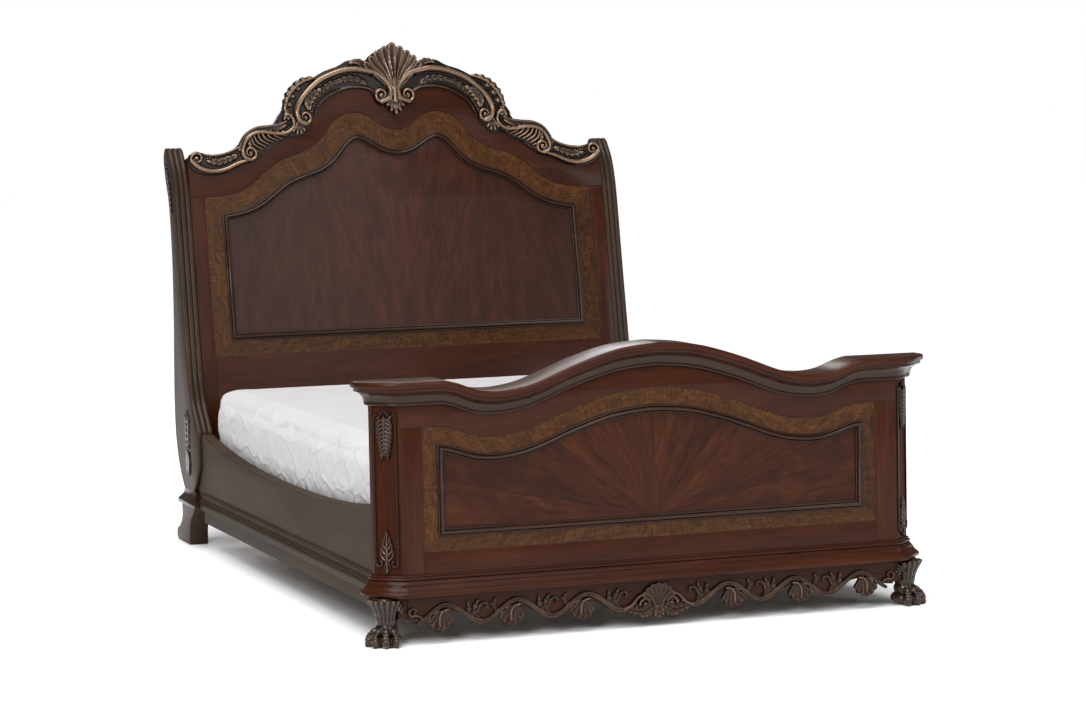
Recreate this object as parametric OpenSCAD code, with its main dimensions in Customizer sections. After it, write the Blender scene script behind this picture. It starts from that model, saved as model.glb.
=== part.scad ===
// Carved sleigh bed: tall leaning headboard, low arched footboard, side rails, slats and mattress.
// Millimetres. X runs across the bed, Y from the footboard to the headboard, Z up.
// Heights are above the floor. Lengths along Y are first measured from the footboard's
// front face and then moved, so that the origin is the bottom centre of the whole bed.

/* [Mattress] */
// Width of the mattress
mattress_w = 1524; // [1520:1:1526]
// Length of the mattress
mattress_l = 2032; // [1990:1:2034]
// Thickness of the mattress
mattress_t = 300; // [180:5:320]
// Height of the slats' top face
slat_top = 245; // [240:1:250]

/* [Footboard] */
// Height of the cornice's top at the ends
foot_h = 740; // [720:5:780]
// Thickness of the footboard's framed panel
foot_t = 50; // [44:1:60]
// Depth of the corner pilasters, front to back
pilaster_d = 88; // [80:1:100]
// Width of the 45 degree cant, measured along X and along Y
cant = 60; // [50:1:64]
// How far the cornice stands out from the footboard
cornice_out = 50; // [40:1:56]
// Width of the visible veneer band
band_w = 42; // [36:1:50]
// Width of the panel moulding
moulding_w = 22; // [18:1:28]

/* [Headboard] */
// Angle that the headboard leans back from upright
lean = 10.65; // [8:0.05:12]
// Thickness of the headboard's framed panel
head_t = 45; // [40:1:50]
// Width of each headboard post
post_w = 55; // [50:1:60]
// How far the crest carving stands in front of the top rail
crest_d = 24; // [16:1:30]

/* [Rails] */
// Thickness of the side rails
rail_t = 42; // [30:1:42]
// Height of the side rails' bottom edge
rail_bottom = 90; // [80:1:110]
// Height of the side rails' top edge at the middle
rail_mid = 332; // [300:1:345]
// Height of the side rails' top edge at both ends
rail_end = 391; // [360:1:395]

/* [Slats] */
// Number of slats
slat_n = 5; // [5]
// Width of a slat
slat_w = 90; // [70:1:110]
// Thickness of a slat
slat_t = 22; // [18:1:25]
// Side of the square centre legs
leg_w = 45; // [38:1:60]
// How far a leveller can be screwed up into its leg
leveller_travel = 12; // [6:1:14]

/* [Hidden] */

// Wood and metal colours
mahogany = [0.36, 0.17, 0.11];
dark_mahogany = [0.25, 0.12, 0.09];
flame_mahogany = [0.45, 0.20, 0.12];
ash_veneer = [0.66, 0.42, 0.20];
carved_bronze = [0.38, 0.30, 0.20];
pine = [0.80, 0.66, 0.45];
steel = [0.60, 0.61, 0.63];
cover_white = [0.93, 0.93, 0.92];

// Plan of the bed: half widths, and places along Y from the footboard's front face
inner_x = mattress_w / 2 + 3;
rail_x = inner_x + rail_t;
post_x = inner_x + post_w;
pilaster_x = inner_x + cant - 1;
rail_moulding_out = 20;
joint_foot = pilaster_d;
joint_head = 2123;
post_back = 2510;
shift_y = (cornice_out - post_back) / 2;
eps = 0.01;

// Footboard levels
base_top = 197;
base_bottom = 137;
foot_border_x = 696;
foot_border_z = 258;
foot_border_drop = 131;
cap_h = 28;
bed_moulding_h = 68;
panel_back = 38;

// Headboard levels, as heights above the floor on the leaning plane
head_y = 2256;
head_z = 648;
head_border_x = 716;
head_border_z = 646;
head_bottom_z = 300;
head_inner_x = 655;
head_inner_z = 700;
panel_rear = 33;

// ---- curves ----

function blend(a, b, c, d, t) = 0.5 * (2 * b + (c - a) * t + (2 * a - 5 * b + 4 * c - d) * t * t
    + (3 * b - a - 3 * c + d) * t * t * t);
// A smooth open curve through the points, n steps between each pair
function spline(p, n) = [for (i = [0:len(p) - 2], k = [0:n - 1])
    blend(p[max(i - 1, 0)], p[i], p[i + 1], p[min(i + 2, len(p) - 1)], k / n), p[len(p) - 1]];
function flip_x(p) = [for (q = p) [-q[0], q[1]]];
function back(p) = [for (i = [len(p) - 1:-1:0]) p[i]];
function lift(p, dz) = [for (q = p) [q[0], q[1] + dz]];
// A curve given from the middle outward becomes one that runs from left to right
function both_sides(p) = concat(back(flip_x(p)), [for (i = [1:len(p) - 1]) p[i]]);
function unit(v) = v / norm(v);
function left_of(v) = [-v[1], v[0]];
// Moves an open line that runs from left to right downward by d, square to itself
function lowered(p, d) = [for (i = [1:len(p) - 2])
    let (m = left_of(unit(p[i] - p[i - 1])), n = left_of(unit(p[i + 1] - p[i])))
    p[i] - d * (m + n) / (1 + m * n)];
// A window with a waved top, moved inward by d from half width x1, bottom z0 and its top line
function window(line, x1, z0, d) = concat([[d - x1, z0 + d], [x1 - d, z0 + d],
    [x1 - d, line[0][1] - d]], [for (q = back(lowered(line, d))) if (abs(q[0]) < x1 - d - 4) q],
    [[d - x1, line[0][1] - d]]);
function arc(c, r, a0, a1, n) = [for (i = [0:n]) let (a = a0 + (a1 - a0) * i / n)
    [c[0] + r * cos(a), c[1] + r * sin(a)]];

// Top front edge of the footboard's cornice, from the middle outward
wave_flat_x = 640;
foot_wave = both_sides(spline([[0, foot_h + 78], [120, foot_h + 66], [245, foot_h + 30],
    [366, foot_h - 16], [430, foot_h - 31], [490, foot_h - 36], [545, foot_h - 30],
    [600, foot_h - 10], [wave_flat_x, foot_h]], 5));

// Lower edge of the headboard's top rail, from the middle outward
head_wave = both_sides(spline([[0, 1413], [32, 1417], [76, 1445], [115, 1471], [155, 1477],
    [207, 1463], [245, 1430], [284, 1380], [342, 1345], [412, 1322], [468, 1294], [523, 1246],
    [580, 1211], [650, 1196], [head_border_x, 1194]], 4));

// Outer edge of the headboard's panel moulding, from the middle outward
head_inner_wave = both_sides(spline([[0, 1337], [50, 1350], [97, 1380], [135, 1402], [165, 1402],
    [200, 1372], [250, 1312], [305, 1280], [370, 1262], [430, 1234], [484, 1192], [533, 1160],
    [592, 1142], [head_inner_x, 1132]], 4));

// Top of the crest, from the middle outward
crest_top = spline([[126, 1653], [145, 1660], [170, 1657], [207, 1638], [250, 1624], [300, 1598],
    [345, 1570], [390, 1529], [423, 1482], [458, 1431]], 3);
arm_top = spline([[458, 1431], [500, 1424], [535, 1412], [570, 1385], [606, 1354], [645, 1337],
    [700, 1336], [inner_x - 1, 1340]], 3);
// Bottom of the crest, from the outside inward
arm_bottom = spline([[inner_x - 1, 1306], [744, 1283], [691, 1266], [636, 1273], [579, 1298],
    [540, 1311], [508, 1326], [480, 1358]], 3);
crest_bottom = spline([[480, 1358], [426, 1384], [402, 1397], [358, 1393], [327, 1417],
    [307, 1448], [306, 1477], [285, 1512], [238, 1550], [170, 1563], [114, 1560], [84, 1546]], 3);

// Headboard post seen from the side: front edge up, then the rolled top and the back edge down
post_front = concat([[2197, 190], [2160, 226], [2136, 260], [joint_head, 284],
    [joint_head, 400]], spline([[2130, 408], [2163, 446], [2208, 496], [2239, 565],
    [2256, 648], [2307, 919], [2346, 1138], [2371, 1238], [2398, 1300], [2432, 1342]], 4));
post_top = arc([2470, 1326], 40, 135, 0, 8);
post_rear = spline([[2509, 1310], [2488, 1250], [2455, 1185], [2434, 1085], [2423, 942],
    [2428, 766], [2443, 600], [2450, 484], [2447, 385], [2426, 310], [2388, 243], [2335, 190]], 3);
post_outline = concat(post_front, post_top, post_rear);

collar_outline = concat([[2335, 190], [2190, 190]], spline([[2190, 190], [2172, 183],
    [2150, 168], [2122, 162], [2112, 154]], 3), [[2112, 140], [2357, 140], [2357, 154],
    [2346, 166]]);

scroll_outline = concat([[2345, 140], [2150, 140]], spline([[2150, 140], [2176, 118],
    [2214, 90], [2234, 50], [2238, 0]], 4), [[2404, 0]], arc([2404, 22], 22, -60, 90, 6),
    spline([[2388, 50], [2352, 76], [2338, 104], [2345, 139]], 4));

// ---- placing ----

// From the footboard's front face to the bed's own centre
module placed() {
    translate([0, shift_y, 0]) children();
}

// A height above the floor, turned into a distance up the leaning headboard
function up(z) = (z - head_z) / cos(lean);
function on_slope(p) = [for (q = p) [q[0], up(q[1])]];

// Boards of the headboard: an outline in x and height, between two depths behind its face
module head_board(p, y0, y1) {
    placed() translate([0, head_y, head_z]) rotate([-lean, 0, 0]) translate([0, y1, 0])
        rotate([90, 0, 0]) linear_extrude(y1 - y0) polygon(on_slope(p));
}

module head_frame(outer, inner, y0, y1) {
    placed() translate([0, head_y, head_z]) rotate([-lean, 0, 0]) translate([0, y1, 0])
        rotate([90, 0, 0]) linear_extrude(y1 - y0) difference() {
            polygon(on_slope(outer));
            polygon(on_slope(inner));
        }
}

// Boards of the footboard: an outline in x and z, between two depths behind its face
module foot_board(p, y0, y1) {
    translate([0, y1, 0]) rotate([90, 0, 0]) linear_extrude(y1 - y0) polygon(p);
}

module foot_frame(outer, inner, y0, y1) {
    placed() translate([0, y1, 0]) rotate([90, 0, 0]) linear_extrude(y1 - y0) difference() {
        polygon(outer);
        polygon(inner);
    }
}

// An outline in y and z, between two places along x, on the given side of the bed
module side_board(side, x0, x1) {
    mirror([side < 0 ? 1 : 0, 0, 0]) translate([x0, 0, 0]) rotate([90, 0, 90])
        linear_extrude(x1 - x0) children();
}

module box_xz(x0, x1, z0, z1, y0, y1) {
    translate([x0, y0, z0]) cube([x1 - x0, y1 - y0, z1 - z0]);
}

// ---- corner joints between rails and posts ----

joint_z = 286;
plate_h = 98;
plate_w = 18;
plate_t = 3;
screw_d = 4;
screw_l = 30;
screw_z = [8, 90];
screw_x = 4.5;
hook_z = [26, 60];

// Runs its children at the four rail ends, plates toward the rail on +Y
module at_corners() {
    for (side = [-1, 1]) {
        translate([side * (inner_x + 21), joint_foot, joint_z]) children();
        translate([side * (inner_x + 21), joint_head, joint_z]) mirror([0, 1, 0]) children();
    }
}

module joint_screw() {
    rotate([-90, 0, 0]) cylinder(h = plate_t, d1 = screw_d * 2, d2 = screw_d, $fn = 24);
    rotate([-90, 0, 0]) cylinder(h = screw_l, d = screw_d, $fn = 24);
}

// The hook plate's screws run into the rail, the catch plate's into the post
module hook_screws() {
    for (z = screw_z) translate([screw_x, 0, z]) joint_screw();
}

module catch_screws() {
    for (z = screw_z) translate([-screw_x, 0, z]) mirror([0, 1, 0]) joint_screw();
}

// Room cut into a rail end for its hook plate
module rail_end_cut() {
    translate([-plate_w / 2, -eps, 0]) cube([plate_w, plate_t + eps, plate_h]);
    hook_screws();
}

// Room cut into a post for its catch plate and for the hooks behind it
module post_end_cut() {
    translate([-plate_w / 2, -plate_t, 0]) cube([plate_w, plate_t + eps, plate_h]);
    translate([-6, -20, 14]) cube([12, 20, plate_h - 26]);
    catch_screws();
}

module rail_hook_plates() {
    color(steel) placed() at_corners() difference() {
        union() {
            translate([-plate_w / 2, 0, 0]) cube([plate_w, plate_t, plate_h]);
            for (z = hook_z) {
                translate([-2, -14, z]) cube([4, 14 + eps, 22]);
                translate([-2, -14, z - 8]) cube([4, 8, 8 + eps]);
            }
        }
        hook_screws();
    }
}

module rail_catch_plates() {
    color(steel) placed() at_corners() difference() {
        translate([-plate_w / 2, -plate_t, 0]) cube([plate_w, plate_t, plate_h]);
        for (z = hook_z) translate([-3, -plate_t - 1, z - 9]) cube([6, plate_t + 2, 32]);
        catch_screws();
    }
}

// ---- headboard ----

module headboard_post(side) {
    color(mahogany) placed() difference() {
        side_board(side, inner_x, post_x) polygon(post_outline);
        at_corners() post_end_cut();
    }
}

module post_collar(side) {
    cx = (inner_x + post_x) / 2;
    half = post_w / 2;
    color(dark_mahogany) placed() intersection() {
        side_board(side, inner_x - 20, post_x + 20) polygon(collar_outline);
        mirror([side < 0 ? 1 : 0, 0, 0]) translate([cx, 2400, 0]) rotate([90, 0, 0])
            linear_extrude(400) polygon([[half + 20, 140], [half + 20, 154], [half + 12, 164],
                [half + 2, 178], [half + 2, 190], [-half, 190], [-half, 140]]);
    }
}

module scroll_foot(side) {
    color(mahogany) placed() side_board(side, inner_x, post_x + 10) polygon(scroll_outline);
}

// Leaf strip near each post's top and oval leaf drop low on its outer face
module post_carvings() {
    color(carved_bronze) placed() for (side = [-1, 1]) {
        side_board(side, post_x, post_x + 5) polygon(concat(
            spline([[2378, 1130], [2392, 1200], [2418, 1270], [2452, 1318], [2480, 1340]], 3),
            spline([[2500, 1322], [2478, 1262], [2440, 1200], [2424, 1130]], 3)));
        side_board(side, post_x, post_x + 6) polygon([for (a = [0:15:345])
            [2262 + 32 * cos(a), 360 + 106 * sin(a)]]);
    }
}

module headboard_top_rail() {
    board_top = lift(concat(both_sides(concat([[0, 1716], [40, 1708], [70, 1692], [96, 1668],
        [116, 1646]], crest_top, [for (i = [1:len(arm_top) - 1]) arm_top[i]]))), -9);
    color(mahogany) head_board(concat([[-inner_x, head_wave[0][1]]], head_wave,
        [[inner_x, head_wave[0][1]], [inner_x, 1331]], back(board_top), [[-inner_x, 1331]]),
        0, head_t);
}

module headboard_stile(side) {
    color(mahogany) mirror([side < 0 ? 1 : 0, 0, 0])
        head_board([[head_border_x, head_bottom_z], [inner_x, head_bottom_z],
            [inner_x, head_wave[0][1]], [head_border_x, head_wave[0][1]]], 0, head_t);
}

module headboard_bottom_rail() {
    color(mahogany) head_board([[-head_border_x, head_bottom_z], [head_border_x, head_bottom_z],
        [head_border_x, head_border_z], [-head_border_x, head_border_z]], 0, head_t);
}

head_border = concat([[-head_border_x, head_border_z], [head_border_x, head_border_z]],
    back(head_wave));
head_inner = concat([[-head_inner_x, head_inner_z], [head_inner_x, head_inner_z]],
    back(head_inner_wave));
head_window = window(head_inner_wave, head_inner_x, head_inner_z, moulding_w);

module headboard_veneer_band() {
    color(ash_veneer) head_frame(head_border, head_inner, 2, panel_rear);
}

module headboard_panel_moulding() {
    color(dark_mahogany) head_frame(head_inner, head_window, -10, panel_rear);
}

module headboard_centre_panel() {
    color(flame_mahogany) head_board(head_window, 4, panel_rear);
}

module headboard_back_panel() {
    color(pine) head_board(head_border, panel_rear, head_t);
}

// ---- crest ----

module crest_arm(side) {
    color(carved_bronze) mirror([side < 0 ? 1 : 0, 0, 0])
        head_board(concat(arm_top, arm_bottom), -crest_d, 0);
}

module crest_arch(side) {
    color(carved_bronze) mirror([side < 0 ? 1 : 0, 0, 0])
        head_board(concat([[88, 1614]], crest_top, crest_bottom, [[82, 1570]]), -crest_d, 0);
}

// Nine-lobed shell over two volutes and a small drop
module crest_shell() {
    lobes = 9;
    fan = [for (i = [0:lobes * 6]) let (a = 45 + 90 * i / (lobes * 6))
        (180 + 14 * sin(2 * (a - 45)) - 9 * abs(cos(180 * i / 6))) * [cos(a), sin(a)]];
    color(carved_bronze) placed() translate([0, head_y, head_z]) rotate([-lean, 0, 0])
        rotate([90, 0, 0]) linear_extrude(crest_d + 6) translate([0, up(1530)]) {
            polygon(concat([[0, 0]], fan));
            for (s = [-1, 1]) translate([s * 50, 5]) circle(r = 26, $fn = 36);
            polygon([[-34, 2], [-12, -50], [0, -72], [12, -50], [34, 2], [16, 40], [-16, 40]]);
        }
}

// ---- footboard ----

// Plan of the footboard, moved outward by e on the front, the cants and the sides
function foot_plan(e, rear) = let (c = e * tan(22.5), w = pilaster_x - cant) [
    [-w - c, -e], [w + c, -e], [pilaster_x + e, cant - c], [pilaster_x + e, rear],
    [-pilaster_x - e, rear], [-pilaster_x - e, cant - c]];

function foot_line(dz, x1) = lift(concat([[-x1, foot_h]], foot_wave, [[x1, foot_h]]), dz);
// A strip that follows the cornice line between two drops below it
function foot_strip(drop0, drop1, x1) = concat(foot_line(-drop1, x1), back(foot_line(-drop0, x1)));

// One layer of the cornice: a strip of the wave, cut to the plan moved outward by e
module cornice_layer(drop0, drop1, e, rear) {
    intersection() {
        foot_board(foot_strip(drop0, drop1, 900), -80, rear + 1);
        linear_extrude(900) polygon(foot_plan(e, rear));
    }
}

module footboard_pilaster(side) {
    w = pilaster_x - cant;
    color(mahogany) placed() difference() {
        mirror([side < 0 ? 1 : 0, 0, 0]) translate([0, 0, base_bottom])
            linear_extrude(foot_h - cap_h - base_bottom)
                polygon([[w, 0], [pilaster_x, cant], [pilaster_x, pilaster_d], [w, pilaster_d]]);
        at_corners() post_end_cut();
    }
}

// Shell drop above and palmette below on each canted face
module pilaster_carvings() {
    mid = pilaster_x - cant / 2;
    color(carved_bronze) placed() for (side = [-1, 1]) mirror([side < 0 ? 1 : 0, 0, 0])
        translate([mid, cant / 2, 0]) rotate([0, 0, 45]) rotate([90, 0, 0])
            linear_extrude(8) {
                polygon(concat(arc([0, 622], 26, 0, 180, 12), [[-20, 585], [-8, 545], [0, 530],
                    [8, 545], [20, 585]]));
                polygon(concat([[0, 318], [-14, 290]], arc([-18, 252], 14, 120, 270, 6),
                    [[0, 222]], arc([18, 252], 14, -90, 60, 6), [[14, 290]]));
            }
}

module footboard_top_rail() {
    w = pilaster_x - cant;
    lower = lift([for (q = foot_wave) if (abs(q[0]) <= wave_flat_x) q], -foot_border_drop);
    ends = foot_h - foot_border_drop;
    color(mahogany) placed() foot_board(concat([[-w, ends]], lower, [[w, ends]],
        back(foot_line(-cap_h, w))), 0, foot_t);
}

module footboard_stile(side) {
    color(mahogany) placed() mirror([side < 0 ? 1 : 0, 0, 0])
        box_xz(foot_border_x, pilaster_x - cant, base_bottom, foot_h - foot_border_drop, 0, foot_t);
}

module footboard_bottom_rail() {
    color(mahogany) placed() box_xz(-foot_border_x, foot_border_x, base_bottom, foot_border_z,
        0, foot_t);
}

foot_border = concat([[-foot_border_x, foot_border_z], [foot_border_x, foot_border_z]],
    back(foot_line(-foot_border_drop, foot_border_x)));
foot_inner_x = foot_border_x - band_w;
foot_inner_line = foot_line(-foot_border_drop - band_w - 7, foot_inner_x);
foot_inner = concat([[-foot_inner_x, foot_border_z + band_w],
    [foot_inner_x, foot_border_z + band_w]], back(foot_inner_line));
foot_window = window(foot_inner_line, foot_inner_x, foot_border_z + band_w, moulding_w);

module footboard_veneer_band() {
    color(ash_veneer) foot_frame(foot_border, foot_inner, 2, panel_back);
}

module footboard_panel_moulding() {
    color(dark_mahogany) foot_frame(foot_inner, foot_window, -10, panel_back);
}

module footboard_centre_panel() {
    color(flame_mahogany) placed() foot_board(foot_window, 4, panel_back);
}

module footboard_back_panel() {
    color(pine) placed() foot_board(foot_border, panel_back, foot_t);
}

// Rounded cap board and the fascia under it
module footboard_cornice() {
    color(mahogany) placed() {
        cornice_layer(0, 6, cornice_out - 3, pilaster_d + 8);
        cornice_layer(6 - eps, 16, cornice_out, pilaster_d + 8);
        cornice_layer(16 - eps, 20, cornice_out - 3, pilaster_d + 8);
        cornice_layer(20 - eps, cap_h, cornice_out - 8, pilaster_d);
    }
}

// Cove and small bead between the cap and the frieze
module footboard_bed_moulding() {
    steps = 5;
    cove_h = bed_moulding_h - cap_h - 8;
    color(dark_mahogany) placed() difference() {
        union() {
            for (i = [0:steps - 1]) cornice_layer(cap_h + cove_h * i / steps - (i ? eps : 0),
                cap_h + cove_h * (i + 1) / steps, 8 + 30 * pow(1 - i / steps, 2), pilaster_d);
            cornice_layer(bed_moulding_h - 8 - eps, bed_moulding_h, 10, pilaster_d);
        }
        linear_extrude(900) polygon(foot_plan(0, pilaster_d + 1));
    }
}

// Height and projection of each step of the base moulding, from the top down
base_steps = [[197, 6], [190, 10], [182, 15], [168, 18], [160, 22], [152, 30], [146, 35],
    [137, 28]];

module footboard_base_moulding() {
    color(mahogany) placed() difference() {
        for (i = [0:len(base_steps) - 2])
            translate([0, 0, base_steps[i + 1][0] - (i < len(base_steps) - 2 ? eps : 0)])
                linear_extrude(base_steps[i][0] - base_steps[i + 1][0] + eps)
                    polygon(foot_plan(base_steps[i + 1][1], pilaster_d));
        translate([0, 0, 100]) linear_extrude(200) polygon(foot_plan(0, pilaster_d + 1));
    }
}

// Three waves of the apron's lower edge on each side of the middle
function apron_z(x) = 74 - 12 * cos(360 * (abs(x) - 112) / 211) + (abs(x) > 560 ? 6 : 0);

apron_x = 748;

module footboard_apron() {
    w = apron_x;
    color(mahogany) placed() foot_board(concat([for (x = [-w:w / 36:w + 1])
        [max(-w, min(w, x)), apron_z(x)]], [[w, base_bottom], [-w, base_bottom]]), 0, 28);
}

// Vine stem that rises and falls three times, with a leaf hanging under each rise
module apron_vine(side) {
    stem = [for (x = [100:12:apron_x]) [x, 82 - 26 * cos(360 * (x - 112) / 211)]];
    color(carved_bronze) placed() mirror([side < 0 ? 1 : 0, 0, 0])
        rotate([90, 0, 0]) linear_extrude(12) {
            polygon(concat(lift(stem, -8), back(lift(stem, 8))));
            for (x = [232, 443, 652]) polygon(spline([[x - 16, 96], [x - 44, 70], [x - 30, 50],
                [x, 38], [x + 28, 52], [x + 22, 80], [x, 100], [x - 16, 96]], 4));
        }
}

module apron_shell() {
    color(carved_bronze) placed() rotate([90, 0, 0]) linear_extrude(16) {
        polygon(concat([[0, 40]], arc([0, 62], 58, 40, 140, 14)));
        for (s = [-1, 1]) translate([s * 42, 62]) circle(r = 38, $fn = 40);
        polygon([[-24, 40], [-14, 26], [0, 22], [14, 26], [24, 40], [0, 66]]);
    }
}

// Lion's paw: knee, ankle and four toes that point out across the corner
module paw_foot(side) {
    color(mahogany) placed() mirror([side < 0 ? 1 : 0, 0, 0]) translate([802, 32, 0]) {
        difference() {
            union() {
                rotate_extrude($fn = 48) polygon(concat([[0, 0], [40, 0]],
                    spline([[40, 0], [46, 14], [42, 34], [35, 56], [33, 72], [40, 96],
                        [50, 118], [50, base_bottom]], 4), [[0, base_bottom]]));
                for (a = [-96, -63, -27, 6]) rotate([0, 0, a])
                    translate([46, 0, 20]) sphere(r = 20, $fn = 32);
            }
            translate([-100, -100, -50]) cube([200, 200, 50]);
        }
    }
}

// ---- rails and slats ----

// Long hollow curve of a rail's top edge
rail_curve = [for (i = [0:24]) let (t = i / 24, y = joint_foot + (joint_head - joint_foot) * t)
    [y, rail_mid + (rail_end - rail_mid) * pow(abs(2 * t - 1), 2.4)]];

module side_rail(side) {
    color(dark_mahogany) placed() difference() {
        side_board(side, inner_x, rail_x) difference() {
            polygon(concat([[joint_foot, rail_bottom], [2112, rail_bottom], [2112, 190],
                [2200, 190], [2160, 300]], back(rail_curve)));
            polygon(post_outline);
            polygon(collar_outline);
        }
        at_corners() rail_end_cut();
    }
}

module rail_moulding(side) {
    color(dark_mahogany) placed() mirror([side < 0 ? 1 : 0, 0, 0])
        translate([rail_x, 2112, 0]) rotate([90, 0, 0]) linear_extrude(2112 - joint_foot)
            polygon(concat([[0, 137], [14, 137]], [[18, 141], [rail_moulding_out, 147]],
                [[16, 153], [12, 160], [10, 172], [7, 184], [4, 190], [4, 197], [0, 197]]));
}

ledger_top = slat_top - slat_t;

module slat_ledger(side) {
    color(pine) placed() difference() {
        mirror([side < 0 ? 1 : 0, 0, 0])
            box_xz(inner_x - 30, inner_x, ledger_top - 33, ledger_top, joint_foot + 20, 2090);
        slat_screws();
    }
}

function slat_y(i) = 200 + (i - 1) * 457;

module slat_screws() {
    for (i = [1:slat_n], side = [-1, 1]) translate([side * (inner_x - 15), slat_y(i), slat_top])
        mirror([0, 0, 1]) rotate([90, 0, 0]) joint_screw();
}

module slat(i) {
    color(pine) placed() difference() {
        box_xz(-inner_x + 2, inner_x - 2, ledger_top, slat_top,
            slat_y(i) - slat_w / 2, slat_y(i) + slat_w / 2);
        slat_screws();
    }
}

leg_bottom = 25;
stud_d = 10;
stud_top = 52;

module at_legs() {
    for (i = [2:4]) translate([0, slat_y(i), 0]) children();
}

module centre_legs() {
    color(pine) placed() at_legs() difference() {
        translate([-leg_w / 2, -leg_w / 2, leg_bottom])
            cube([leg_w, leg_w, ledger_top - leg_bottom]);
        translate([0, 0, leg_bottom - 1])
            cylinder(h = stud_top + leveller_travel + 4 - leg_bottom, d = stud_d + 0.16, $fn = 32);
    }
}

module leveller(i) {
    color(steel) placed() translate([0, slat_y(i + 1), 0]) {
        cylinder(h = 8, d1 = 36, d2 = 30, $fn = 48);
        translate([0, 0, 8 - eps]) cylinder(h = stud_top - 8, d = stud_d, $fn = 32);
    }
}

module wood_screws() {
    color(steel) placed() {
        at_corners() {
            hook_screws();
            catch_screws();
        }
        slat_screws();
    }
}

// ---- mattress ----

module mattress() {
    r = 60;
    x = mattress_w / 2;
    y0 = joint_foot + 4;
    y1 = y0 + mattress_l;
    color(cover_white) placed() translate([0, 0, slat_top + 0.5]) linear_extrude(mattress_t)
        polygon(concat(arc([x - r, y0 + r], r, -90, 0, 8), arc([x - r, y1 - r], r, 0, 90, 8),
            arc([r - x, y1 - r], r, 90, 180, 8), arc([r - x, y0 + r], r, 180, 270, 8)));
}

headboard_post(-1);  // headboard_post_left
headboard_post(1);  // headboard_post_right
post_collar(-1);  // post_collar_left
post_collar(1);  // post_collar_right
scroll_foot(-1);  // scroll_foot_left
scroll_foot(1);  // scroll_foot_right
post_carvings();
headboard_top_rail();
headboard_stile(-1);  // headboard_stile_left
headboard_stile(1);  // headboard_stile_right
headboard_bottom_rail();
headboard_veneer_band();
headboard_panel_moulding();
headboard_centre_panel();
headboard_back_panel();
crest_arm(-1);  // crest_arm_left
crest_arm(1);  // crest_arm_right
crest_arch(-1);  // crest_arch_left
crest_arch(1);  // crest_arch_right
crest_shell();
footboard_pilaster(-1);  // footboard_pilaster_left
footboard_pilaster(1);  // footboard_pilaster_right
pilaster_carvings();
footboard_top_rail();
footboard_stile(-1);  // footboard_stile_left
footboard_stile(1);  // footboard_stile_right
footboard_bottom_rail();
footboard_veneer_band();
footboard_panel_moulding();
footboard_centre_panel();
footboard_back_panel();
footboard_cornice();
footboard_bed_moulding();
footboard_base_moulding();
footboard_apron();
apron_vine(-1);  // apron_vine_left
apron_vine(1);  // apron_vine_right
apron_shell();
paw_foot(-1);  // paw_foot_left
paw_foot(1);  // paw_foot_right
side_rail(-1);  // side_rail_left
side_rail(1);  // side_rail_right
rail_moulding(-1);  // rail_moulding_left
rail_moulding(1);  // rail_moulding_right
slat_ledger(-1);  // slat_ledger_left
slat_ledger(1);  // slat_ledger_right
rail_hook_plates();
rail_catch_plates();
wood_screws();
slat(1);  // slat_1
slat(2);  // slat_2
slat(3);  // slat_3
slat(4);  // slat_4
slat(5);  // slat_5
centre_legs();
leveller(1);  // leveller_1
leveller(2);  // leveller_2
leveller(3);  // leveller_3
mattress();
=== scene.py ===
"""Looks for the carved sleigh bed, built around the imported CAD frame.

Metres, in the frame's own axes: X across the bed, Y from footboard to headboard, Z up.
"""
import math

import bmesh
import bpy
import numpy as np
from mathutils import Matrix, Vector, noise


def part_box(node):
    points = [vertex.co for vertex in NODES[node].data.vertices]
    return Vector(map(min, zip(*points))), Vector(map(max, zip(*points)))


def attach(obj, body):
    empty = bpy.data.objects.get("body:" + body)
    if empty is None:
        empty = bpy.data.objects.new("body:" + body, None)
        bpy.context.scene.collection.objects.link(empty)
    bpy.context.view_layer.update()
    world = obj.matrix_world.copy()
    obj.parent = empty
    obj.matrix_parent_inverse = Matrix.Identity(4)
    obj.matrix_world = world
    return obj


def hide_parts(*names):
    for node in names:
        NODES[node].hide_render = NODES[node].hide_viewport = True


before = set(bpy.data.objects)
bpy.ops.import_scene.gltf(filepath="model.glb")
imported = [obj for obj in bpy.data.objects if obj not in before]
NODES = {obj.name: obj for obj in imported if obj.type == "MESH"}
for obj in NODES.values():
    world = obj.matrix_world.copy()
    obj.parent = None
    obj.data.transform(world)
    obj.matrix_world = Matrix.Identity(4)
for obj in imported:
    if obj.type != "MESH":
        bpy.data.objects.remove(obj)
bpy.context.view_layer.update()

BODY = "bed_frame"
MM = 0.001

# ---------------------------------------------------------------- places read from the frame


def lo(node):
    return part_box(node)[0]


def hi(node):
    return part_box(node)[1]


FACE_Y = lo("footboard_bottom_rail").y           # front face of the footboard's frame
WING_X = hi("footboard_stile_right").x           # where the footboard's canted corners start
SIDE_X = hi("footboard_pilaster_right").x        # outer faces of the footboard
PILASTER_BACK = hi("footboard_pilaster_right").y
FOOT_TOP = hi("footboard_pilaster_right").z + 0.028   # cornice top at the ends
BASE_TOP = hi("footboard_base_moulding").z
BASE_BOTTOM = lo("footboard_base_moulding").z
POST_IN = lo("headboard_post_right").x
POST_OUT = hi("headboard_post_right").x
RAIL_OUT = hi("side_rail_right").x
CORNICE_BACK = hi("footboard_cornice").y

# The headboard leans back, and its drawing runs along the slope from a known height
LEAN = math.radians(10.65)
HEAD_FOOT_Z = 0.300
HEAD_ORIGIN_Z = 0.648
HEAD_ORIGIN = Vector((0, lo("headboard_bottom_rail").y
                      + (HEAD_ORIGIN_Z - HEAD_FOOT_Z) * math.tan(LEAN), HEAD_ORIGIN_Z))
SLOPE = Vector((0, math.sin(LEAN), math.cos(LEAN)))
INTO_HEAD = Vector((0, math.cos(LEAN), -math.sin(LEAN)))


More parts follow.
